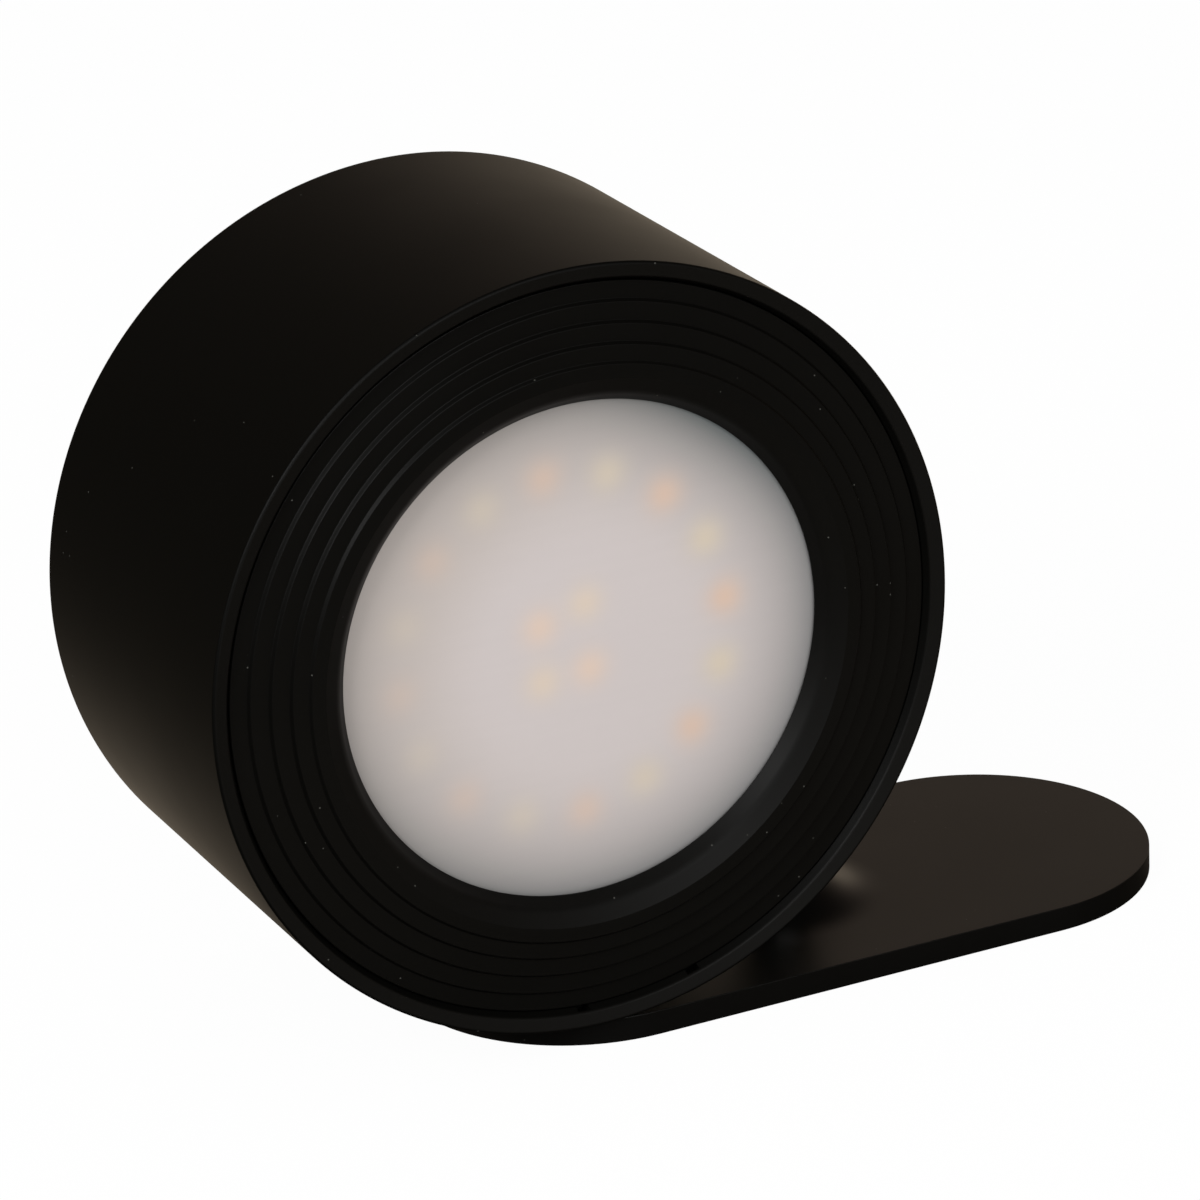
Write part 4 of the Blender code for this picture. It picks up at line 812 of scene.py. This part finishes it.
# Housing
def make_housing():
    rear = -LAMP_LENGTH
    corners = [
        (0, rear + WALL, 0),
        (BORE_RADIUS, rear + WALL, FLOOR_FILLET),
        (BORE_RADIUS, -MOUTH_DEPTH, MOUTH_FILLET),
        (BORE_RADIUS + MOUTH_FLARE, -RIM_FALL, RIM_INNER_FILLET),
        (LAMP_RADIUS, 0, RIM_FILLET),
        (LAMP_RADIUS, rear, REAR_FILLET),
        (REAR_STEP_RADIUS + REAR_STEP_DEPTH, rear, REAR_STEP_FILLET),
        (REAR_STEP_RADIUS, rear + REAR_STEP_DEPTH, REAR_STEP_FILLET),
        (0, rear + REAR_STEP_DEPTH, 0),
    ]
    profile = filleted(corners, HOUSING_FILLET_STEPS)
    housing = revolve("housing_shell", profile, HOUSING_SEGMENTS)

    # Notch for the bezel's key, open to the front at its two ends
    inner = BORE_RADIUS - MOUTH_FLARE
    foot = -(KEY_TOP_DEPTH + KEY_HEIGHT)
    notch = sector(inner, BORE_RADIUS + KEY_NOTCH_REACH, KEY_ANGLE, KEY_WIDTH, KEY_STEPS)
    cutters = [prism("notch", notch, foot - FIT_GAP, KEY_ROOF_GAP - KEY_TOP_DEPTH)]
    for side in (-1, 1):
        turn = KEY_ANGLE + side * (KEY_WIDTH - KEY_END_OPENING) / 2 / BORE_RADIUS
        opening = sector(inner, BORE_RADIUS + KEY_NOTCH_REACH, turn, KEY_END_OPENING, KEY_END_STEPS)
        cutters.append(prism("opening", opening, foot, OVERRUN))
        pocket = sector(inner, BORE_RADIUS + KEY_POCKET_REACH, turn, KEY_END_OPENING, KEY_END_STEPS)
        cutters.append(prism("pocket", pocket, foot + KEY_POCKET_FOOT, -KEY_POCKET_DEPTH))

    # Hole for the ball
    lamp_side = AXIS_REACH - LAMP_RADIUS
    start = lamp_side - OVERRUN
    towards_ball = to_front.inverted()
    hole = circle(DISH_HOLE_RADIUS, ROUND_SEGMENTS)
    cutters.append(prism("dish_hole", hole, start, lamp_side + WALL + DISH_HOLE_OVERRUN, towards_ball))
    lip = circle(DISH_LIP_RADIUS, ROUND_SEGMENTS)
    cutters.append(prism("dish_lip", lip, start, lamp_side + DISH_LIP_DEPTH, towards_ball))

    # Charging port, light pipe and touch plate
    inside, outside = LAMP_RADIUS - PORT_CUT_DEPTH, LAMP_RADIUS + OVERRUN
    cutters.append(prism("port", stadium(PORT_WIDTH, PORT_HEIGHT, PORT_STEPS), inside, outside, port_place))
    lead_in = stadium(LEAD_IN_WIDTH, LEAD_IN_HEIGHT, PORT_STEPS)
    cutters.append(prism("lead_in", lead_in, LAMP_RADIUS - LEAD_IN_DEPTH, outside, port_place))
    pipe_hole = circle(PIPE_HOLE_RADIUS, PIPE_HOLE_SEGMENTS)
    cutters.append(prism("pipe", pipe_hole, inside, outside, pipe_place))
    recess = circle(TOUCH_RADIUS + FIT_GAP, ROUND_SEGMENTS)
    cutters.append(prism("touch_recess", recess, rear - OVERRUN, rear + TOUCH_RECESS_DEPTH))
    carve(housing, cutters)
    turned_normals(housing, profile)
    dress(housing, "housing", "lamp", ["housing"], front_matrix)


# Bezel
def funnel_knee(crest, edge):
    """Where the funnel's upper slope meets its foot's."""
    out = Vector((-math.cos(FUNNEL_TOP_SLOPE), -math.sin(FUNNEL_TOP_SLOPE)))
    into = Vector((-math.cos(FUNNEL_FOOT_SLOPE), -math.sin(FUNNEL_FOOT_SLOPE)))
    span = edge - crest
    cross = out.x * into.y - out.y * into.x
    return crest + out * ((span.x * into.y - span.y * into.x) / cross)


def make_bezel():
    corners = [(BEZEL_RADIUS, -BEZEL_SKIRT_DEPTH, 0), (BEZEL_RADIUS, -BEZEL_BAND_DEPTH, BEZEL_BAND_FILLET)]
    height = -BEZEL_BAND_DEPTH
    for radius, level in TERRACES:
        corners.append((radius + TERRACE_SLOPE, height, TERRACE_FILLET))
        corners.append((radius - TERRACE_SLOPE, level, TERRACE_FILLET))
        height = level
    crest = Vector((WINDOW_RADIUS + FUNNEL_WIDTH, height))
    edge = Vector((WINDOW_RADIUS, -WINDOW_DEPTH))
    knee = funnel_knee(crest, edge)
    corners += [(*crest, CREST_FILLET), (*knee, FUNNEL_FILLET), (*edge, 0)]
    lip = -(WINDOW_DEPTH + WINDOW_LAND)
    inner = BEZEL_RADIUS - BEZEL_WALL
    corners += [(WINDOW_RADIUS, lip, 0), (inner, lip - BEZEL_BACK_FALL, 0), (inner, -BEZEL_SKIRT_DEPTH, 0)]
    corners.append((BEZEL_RADIUS, -BEZEL_SKIRT_DEPTH, 0))
    profile = filleted(corners, BEZEL_FILLET_STEPS)
    bezel = revolve("bezel_ring", profile, HOUSING_SEGMENTS, closed=True)

    # Key, with the parting line running on before it
    width = KEY_WIDTH - 2 * KEY_END_OPENING
    outline = sector(BEZEL_RADIUS - KEY_ROOT, BORE_RADIUS + KEY_REACH, KEY_ANGLE, width, KEY_STEPS)
    carve(bezel, [prism("tab", outline, -KEY_TOP_DEPTH - KEY_HEIGHT, -KEY_TOP_DEPTH)], "UNION")
    line = sector(BEZEL_RADIUS, BEZEL_RADIUS + KEY_LINE_WIDTH, KEY_ANGLE, KEY_WIDTH, KEY_STEPS)
    carve(bezel, [prism("parting_line", line, -KEY_TOP_DEPTH - KEY_LINE_DEPTH, OVERRUN)])
    turned_normals(bezel, profile)
    dress(bezel, "bezel", "lamp", ["front_bezel"], front_matrix)


# Window
def make_window():
    face, back = -OPAL_FACE_DEPTH, -OPAL_BACK_DEPTH
    corners = [(0, face, 0), (OPAL_RADIUS, face, OPAL_FILLET), (OPAL_RADIUS, back, OPAL_FILLET), (0, back, 0)]
    window = turned("opal_window", corners, FINE_SEGMENTS, SMALL_FILLET_STEPS)
    dress(window, "opal", "lamp", ["diffuser"], front_matrix)


# Plate and pad
def boss_height(radius):
    """Rise of the pressed boss over the flat plate, at a distance from its middle."""
    if radius <= BOSS_TOP_RADIUS:
        return BOSS_HEIGHT
    past = radius - BOSS_TOP_RADIUS
    share = min(1.0, past / (BOSS_FOOT_RADIUS - BOSS_TOP_RADIUS))
    return BOSS_HEIGHT * math.exp(-((past / BOSS_SPREAD) ** 2)) * (1 - share**4)


def make_plate():
    """Pressed tray: an outer and an inner skin, joined at the skirt's foot and in the stud's hole."""
    length, width = (plate_high - plate_low).x, (plate_high - plate_low).y
    ceiling = PLATE_TOP - PLATE_SHEET
    bm = bmesh.new()

    def loop(inset, height):
        outline = stadium(length - 2 * inset, width - 2 * inset, PLATE_END_STEPS)
        return [bm.verts.new((x, y, height)) for x, y in outline]

    def ring(radius, level):
        height = level + boss_height(radius)
        return [bm.verts.new((x, y, height)) for x, y in circle(radius, BOSS_SEGMENTS)]

    def band(lower, upper):
        for index, corner in enumerate(lower):
            after = (index + 1) % len(lower)
            bm.faces.new((corner, lower[after], upper[after], upper[index]))

    def fill(outer, inner):
        pairs = [(line[k - 1], line[k]) for line in (outer, inner) for k in range(len(line))]
        edges = [bm.edges.get(pair) for pair in pairs]
        bmesh.ops.triangle_fill(bm, edges=edges, use_beauty=True)

    drop = BOSS_FOOT_RADIUS - BOSS_TOP_RADIUS
    radii = [BOSS_FOOT_RADIUS + PLATE_STRIP]
    radii += [BOSS_FOOT_RADIUS - drop * step / BOSS_ROWS for step in range(BOSS_ROWS + 1)]
    radii += [BOSS_TOP_RADIUS - PLATE_STRIP, STUD_HOLE_RADIUS]

    # Outer skin: up the skirt, over the edge, then the flat field and the boss
    shoulder = PLATE_TOP - PLATE_EDGE
    loops = [loop(0, height) for height in (0, PLATE_SIDE_STRIP, shoulder - PLATE_SIDE_STRIP, shoulder)]
    for step in range(1, PLATE_EDGE_STEPS + 1):
        turn = math.pi / 2 * step / PLATE_EDGE_STEPS
        loops.append(loop(PLATE_EDGE * (1 - math.cos(turn)), shoulder + PLATE_EDGE * math.sin(turn)))
    loops.append(loop(PLATE_EDGE + PLATE_STRIP, PLATE_TOP))
    for lower, upper in zip(loops, loops[1:]):
        band(lower, upper)
    rings = [ring(radius, PLATE_TOP) for radius in radii]
    for outer, inner in zip(rings, rings[1:]):
        band(outer, inner)
    fill(loops[-1], rings[0])

    # Inner skin
    under = [
        loop(PLATE_FOOT_CHAMFER, 0),
        loop(PLATE_SHEET - PLATE_FOOT_CHAMFER, 0),
        loop(PLATE_SHEET, PLATE_FOOT_CHAMFER),
        loop(PLATE_SHEET, ceiling),
        loop(PLATE_SHEET + PLATE_STRIP, ceiling),
    ]
    band(under[0], loops[0])
    for lower, upper in zip(under, under[1:]):
        band(upper, lower)
    low_rings = [ring(radius, ceiling) for radius in radii]
    for outer, inner in zip(low_rings, low_rings[1:]):
        band(inner, outer)
    band(rings[-1], low_rings[-1])
    fill(under[-1], low_rings[0])
    bmesh.ops.recalc_face_normals(bm, faces=bm.faces)
    dress(named("plate_tray", bm), "plate", "plate", ["base_plate"], smooth=CREASE)


def make_pad():
    length, width = (pad_high - pad_low).x, (pad_high - pad_low).y
    pad = prism("foam_pad", stadium(length, width, PLATE_END_STEPS), pad_low.z, pad_high.z)
    dress(pad, "foam", "plate", ["adhesive_pad"], smooth=CREASE)


# Ball, stud and socket cup
def make_ball():
    bm = bmesh.new()
    rings = ROUND_SEGMENTS // 2
    bmesh.ops.create_uvsphere(bm, u_segments=ROUND_SEGMENTS, v_segments=rings, radius=BALL_RADIUS)
    ball = named("polished_ball", bm)
    ball.data.shade_smooth()
    dress(ball, "ball", "ball", ["steel_ball"], ball_matrix)


def make_stud():
    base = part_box("ball_stud")[0].z - BALL_CENTRE.z
    foot = STUD_COLLAR_FOOT - BALL_CENTRE.z
    edge = math.asin(STUD_COLLAR_RADIUS / BALL_SEAT_RADIUS)
    corners = []
    for step in range(STUD_SEAT_STEPS):
        turn = edge * step / STUD_SEAT_STEPS
        corners.append((BALL_SEAT_RADIUS * math.sin(turn), -BALL_SEAT_RADIUS * math.cos(turn), 0))
    corners += [
        (STUD_COLLAR_RADIUS, -math.sqrt(BALL_SEAT_RADIUS**2 - STUD_COLLAR_RADIUS**2), STUD_FILLET),
        (STUD_COLLAR_RADIUS, foot, STUD_FILLET),
        (STUD_SHANK_RADIUS, foot, 0),
        (STUD_SHANK_RADIUS, base, STUD_END_FILLET),
        (0, base, 0),
    ]
    stud = turned("turned_stud", corners, SMALL_SEGMENTS)
    dress(stud, "steel", "stud", ["ball_stud"], ball_matrix)


def make_cup():
    face = AXIS_REACH - (LAMP_RADIUS - CUP_SINK)
    edge = math.acos(face / BALL_SEAT_RADIUS)
    corners = []
    for step in range(CUP_DISH_STEPS):
        turn = edge * step / CUP_DISH_STEPS
        corners.append((BALL_SEAT_RADIUS * math.sin(turn), BALL_SEAT_RADIUS * math.cos(turn), 0))
    top = CUP_FLANGE_HEIGHT + CUP_FLANGE_THICKNESS
    corners += [
        (BALL_SEAT_RADIUS * math.sin(edge), face, CUP_DISH_FILLET),
        (CUP_LIP_RADIUS, face, CUP_LIP_FILLET),
        (CUP_LIP_RADIUS, CUP_FLANGE_HEIGHT, 0),
        (CUP_FLANGE_RADIUS, CUP_FLANGE_HEIGHT, CUP_FLANGE_FILLET),
        (CUP_FLANGE_RADIUS, top, CUP_FLANGE_FILLET),
        (0, top, 0),
    ]
    cup = turned("dish_cup", corners, ROUND_SEGMENTS)
    dress(cup, "cup", "lamp", ["socket_cup"], lean_matrix)


# Touch plate, charging socket and light pipe
def make_touch_plate():
    face = TOUCH_SINK - LAMP_LENGTH
    back = face + TOUCH_THICKNESS
    corners = [(0, face, 0), (TOUCH_RADIUS, face, TOUCH_FILLET), (TOUCH_RADIUS, back, 0), (0, back, 0)]
    plate = turned("touch_disc", corners, ROUND_SEGMENTS)
    dress(plate, "touch", "lamp", ["touch_plate"], front_matrix)


def make_port():
    upright = front_matrix @ port_place
    mouth = LAMP_RADIUS - USB_SINK
    back = mouth - USB_LENGTH
    shell = prism("usb_shell", stadium(USB_WIDTH, USB_HEIGHT, USB_STEPS), back, mouth)
    bore = stadium(USB_WIDTH - 2 * USB_WALL, USB_HEIGHT - 2 * USB_WALL, USB_STEPS)
    carve(shell, [prism("bore", bore, back + USB_WALL, mouth + OVERRUN)])
    dress(shell, "steel", "lamp", ["usb_socket"], upright, CREASE)
    tongue = prism("usb_tongue", block(TONGUE_WIDTH, TONGUE_HEIGHT), back + TONGUE_ROOT, mouth - TONGUE_SINK)
    bevel = tongue.modifiers.new("edge", "BEVEL")
    bevel.width = TONGUE_BEVEL
    bevel.segments = TONGUE_BEVEL_STEPS
    dress(tongue, "tongue", "lamp", (), upright, CREASE)
    for index in range(CONTACTS):
        x = (index - (CONTACTS - 1) / 2) * CONTACT_PITCH
        z = -CONTACT_LEVEL if index % 2 else CONTACT_LEVEL
        outline = block(CONTACT_WIDTH, CONTACT_HEIGHT, (x, z))
        contact = prism(f"usb_contact_{index + 1:02d}", outline, back + CONTACT_ROOT, mouth - CONTACT_SINK)
        dress(contact, "gold", "lamp", (), upright)


def make_light_pipe():
    tip = math.sqrt(LAMP_RADIUS**2 - PIPE_EDGE_OFFSET**2) - PIPE_SINK
    end = tip - PIPE_LENGTH
    corners = [(0, tip, 0), (PIPE_RADIUS, tip, PIPE_FILLET), (PIPE_RADIUS, end, 0), (0, end, 0)]
    pipe = turned("light_pipe_lens", corners, PIPE_SEGMENTS, SMALL_FILLET_STEPS)
    place = front_matrix @ pipe_place
    dress(pipe, "clear", "lamp", ["indicator_light_pipe"], place)


# Stage, world, lights and camera
FLOOR_RADIUS = 1.6
FLOOR_DROP = 0.02 * MM
FLOOR_COLOUR = (0.80, 0.80, 0.80)
FLOOR_WHITE_SHARE = 0.95
FLOOR_WHITE = 1.02
MIRRORED_TINT = (1.0, 0.83, 0.63)
MIRRORED_TINT_ABOVE = (1.0, 0.74, 0.63)
WHITE = (1, 1, 1)
WORLD_SOFT = 0.36
WORLD_WHITE = 1.0

# Ramps of what the reflections see: start, end, and the value at each
FLOOR_ACROSS = (-0.110, -0.03, 0.07, 1.0)
FLOOR_BEHIND = (-0.02, 0.05, 0.0, 1.0)
FLOOR_BEFORE = (-0.17, -0.08, 0.02, 0.24)
FLOOR_BESIDE = (-0.075, -0.03, 1.0, 0.10)
WORLD_RISE = (0.10, 0.56, 0.66, 0.02)
WORLD_ACROSS = (-0.40, 0.55, 0.07, 1.0)
WORLD_DEEP = (-0.5, 0.15, 0.25, 1.0)
WORLD_WARMTH = (0.22, 0.38, 0.0, 1.0)


def make_stage():
    """Pale floor: white to the camera, and in reflections white behind the lamp and dim before it."""
    floor_mat = finish("pale_floor", FLOOR_COLOUR, 0.6, specular=0.1, mottle=0.01)
    tree = floor_mat.node_tree
    place = tree.nodes.new("ShaderNodeTexCoord")
    split = tree.nodes.new("ShaderNodeSeparateXYZ")
    tree.links.new(place.outputs["Object"], split.inputs["Vector"])
    x, y = split.outputs["X"], split.outputs["Y"]
    across = ramp_node(tree, x, *FLOOR_ACROSS)
    behind = ramp_node(tree, y, *FLOOR_BEHIND)
    before = ramp_node(tree, y, *FLOOR_BEFORE)
    beside = ramp_node(tree, y, *FLOOR_BESIDE)
    along = math_node(tree, "MAXIMUM", behind, math_node(tree, "MULTIPLY", before, beside))
    mirrored = math_node(tree, "MULTIPLY", across, along)

    path = tree.nodes.new("ShaderNodeLightPath")
    seen, glossy = path.outputs["Is Camera Ray"], path.outputs["Is Glossy Ray"]
    glow = tree.nodes.new("ShaderNodeEmission")
    tree.links.new(mix_node(tree, seen, mirrored, FLOOR_WHITE), glow.inputs["Strength"])
    tree.links.new(mix_node(tree, glossy, WHITE, MIRRORED_TINT), glow.inputs["Color"])
    shown = math_node(tree, "ADD", math_node(tree, "MULTIPLY", seen, FLOOR_WHITE_SHARE), glossy)
    mixer = tree.nodes.new("ShaderNodeMixShader")
    tree.links.new(shown, mixer.inputs["Fac"])
    tree.links.new(tree.nodes["Principled BSDF"].outputs["BSDF"], mixer.inputs[1])
    tree.links.new(glow.outputs["Emission"], mixer.inputs[2])
    tree.links.new(mixer.outputs["Shader"], tree.nodes["Material Output"].inputs["Surface"])

    bm = bmesh.new()
    bmesh.ops.create_circle(bm, cap_ends=True, segments=ROUND_SEGMENTS, radius=FLOOR_RADIUS)
    floor = named("floor", bm)
    floor.location = (0, 0, -FLOOR_DROP)
    floor.data.materials.append(floor_mat)


def make_world():
    """White to the camera, soft and even on surfaces, and in reflections bright low at the back right."""
    world = bpy.data.worlds.new("studio")
    bpy.context.scene.world = world
    world.use_nodes = True
    tree = world.node_tree
    back = tree.nodes["Background"]
    place = tree.nodes.new("ShaderNodeTexCoord")
    split = tree.nodes.new("ShaderNodeSeparateXYZ")
    tree.links.new(place.outputs["Generated"], split.inputs["Vector"])
    x, y, z = split.outputs["X"], split.outputs["Y"], split.outputs["Z"]
    low = ramp_node(tree, z, *WORLD_RISE)
    side = ramp_node(tree, x, *WORLD_ACROSS)
    deep = ramp_node(tree, y, *WORLD_DEEP)
    mirrored = math_node(tree, "MULTIPLY", math_node(tree, "MULTIPLY", low, side), deep)
    path = tree.nodes.new("ShaderNodeLightPath")
    seen, glossy = path.outputs["Is Camera Ray"], path.outputs["Is Glossy Ray"]
    level = mix_node(tree, glossy, WORLD_SOFT, mirrored)
    tree.links.new(mix_node(tree, seen, level, WORLD_WHITE), back.inputs["Strength"])
    tint = mix_node(tree, ramp_node(tree, z, *WORLD_WARMTH), MIRRORED_TINT, MIRRORED_TINT_ABOVE)
    tree.links.new(mix_node(tree, glossy, WHITE, tint), back.inputs["Color"])


LIGHT_TARGET = (-0.02, 0, 0.04)
LIGHTS = (
    ("key", (-0.94, -0.50, 0.74), 0.55, 6.8),
    ("fill", (-0.10, -1.20, 0.60), 0.9, 5.5),
)


def make_lights():
    for name, place, size, power in LIGHTS:
        data = bpy.data.lights.new(name, "AREA")
        data.shape = "DISK"
        data.size = size
        data.energy = power
        lamp = bpy.data.objects.new(name, data)
        lamp.location = place
        lamp.rotation_euler = (Vector(LIGHT_TARGET) - Vector(place)).to_track_quat("-Z", "Y").to_euler()
        bpy.context.scene.collection.objects.link(lamp)


CAMERA_AZIMUTH = math.radians(-25.34)
CAMERA_ELEVATION = math.radians(21.55)
CAMERA_ROLL = math.radians(-2.67)
CAMERA_DISTANCE = 691.69 * MM
CAMERA_AIM = (21.40 * MM, 85.39 * MM, 2.6 * MM)
CAMERA_LENS = 174.0
CAMERA_SENSOR = 36.0
CAMERA_NEAR = 0.01
CAMERA_FAR = 20.0


def make_camera():
    """The photograph's camera, fitted to the lamp's rims and the plate's outline."""
    level = math.cos(CAMERA_ELEVATION)
    across, away = math.sin(CAMERA_AZIMUTH) * level, math.cos(CAMERA_AZIMUTH) * level
    back = Vector((across, -away, math.sin(CAMERA_ELEVATION)))
    right = (-back).cross(Vector((0, 0, 1))).normalized()
    up = right.cross(-back)
    cos, sin = math.cos(CAMERA_ROLL), math.sin(CAMERA_ROLL)
    right, up = cos * right + sin * up, -sin * right + cos * up
    data = bpy.data.cameras.new("camera")
    data.lens = CAMERA_LENS
    data.sensor_width = CAMERA_SENSOR
    data.clip_start = CAMERA_NEAR
    data.clip_end = CAMERA_FAR
    camera = bpy.data.objects.new("camera", data)
    matrix = Matrix((right, up, back)).transposed().to_4x4()
    matrix.translation = Vector(CAMERA_AIM) + back * CAMERA_DISTANCE
    camera.matrix_world = matrix
    bpy.context.scene.collection.objects.link(camera)
    bpy.context.scene.camera = camera


bpy.context.scene.view_settings.view_transform = "Standard"
dress_nodes()
make_housing()
make_bezel()
make_window()
make_plate()
make_pad()
make_ball()
make_stud()
make_cup()
make_touch_plate()
make_port()
make_light_pipe()
make_stage()
make_world()
make_lights()
make_camera()
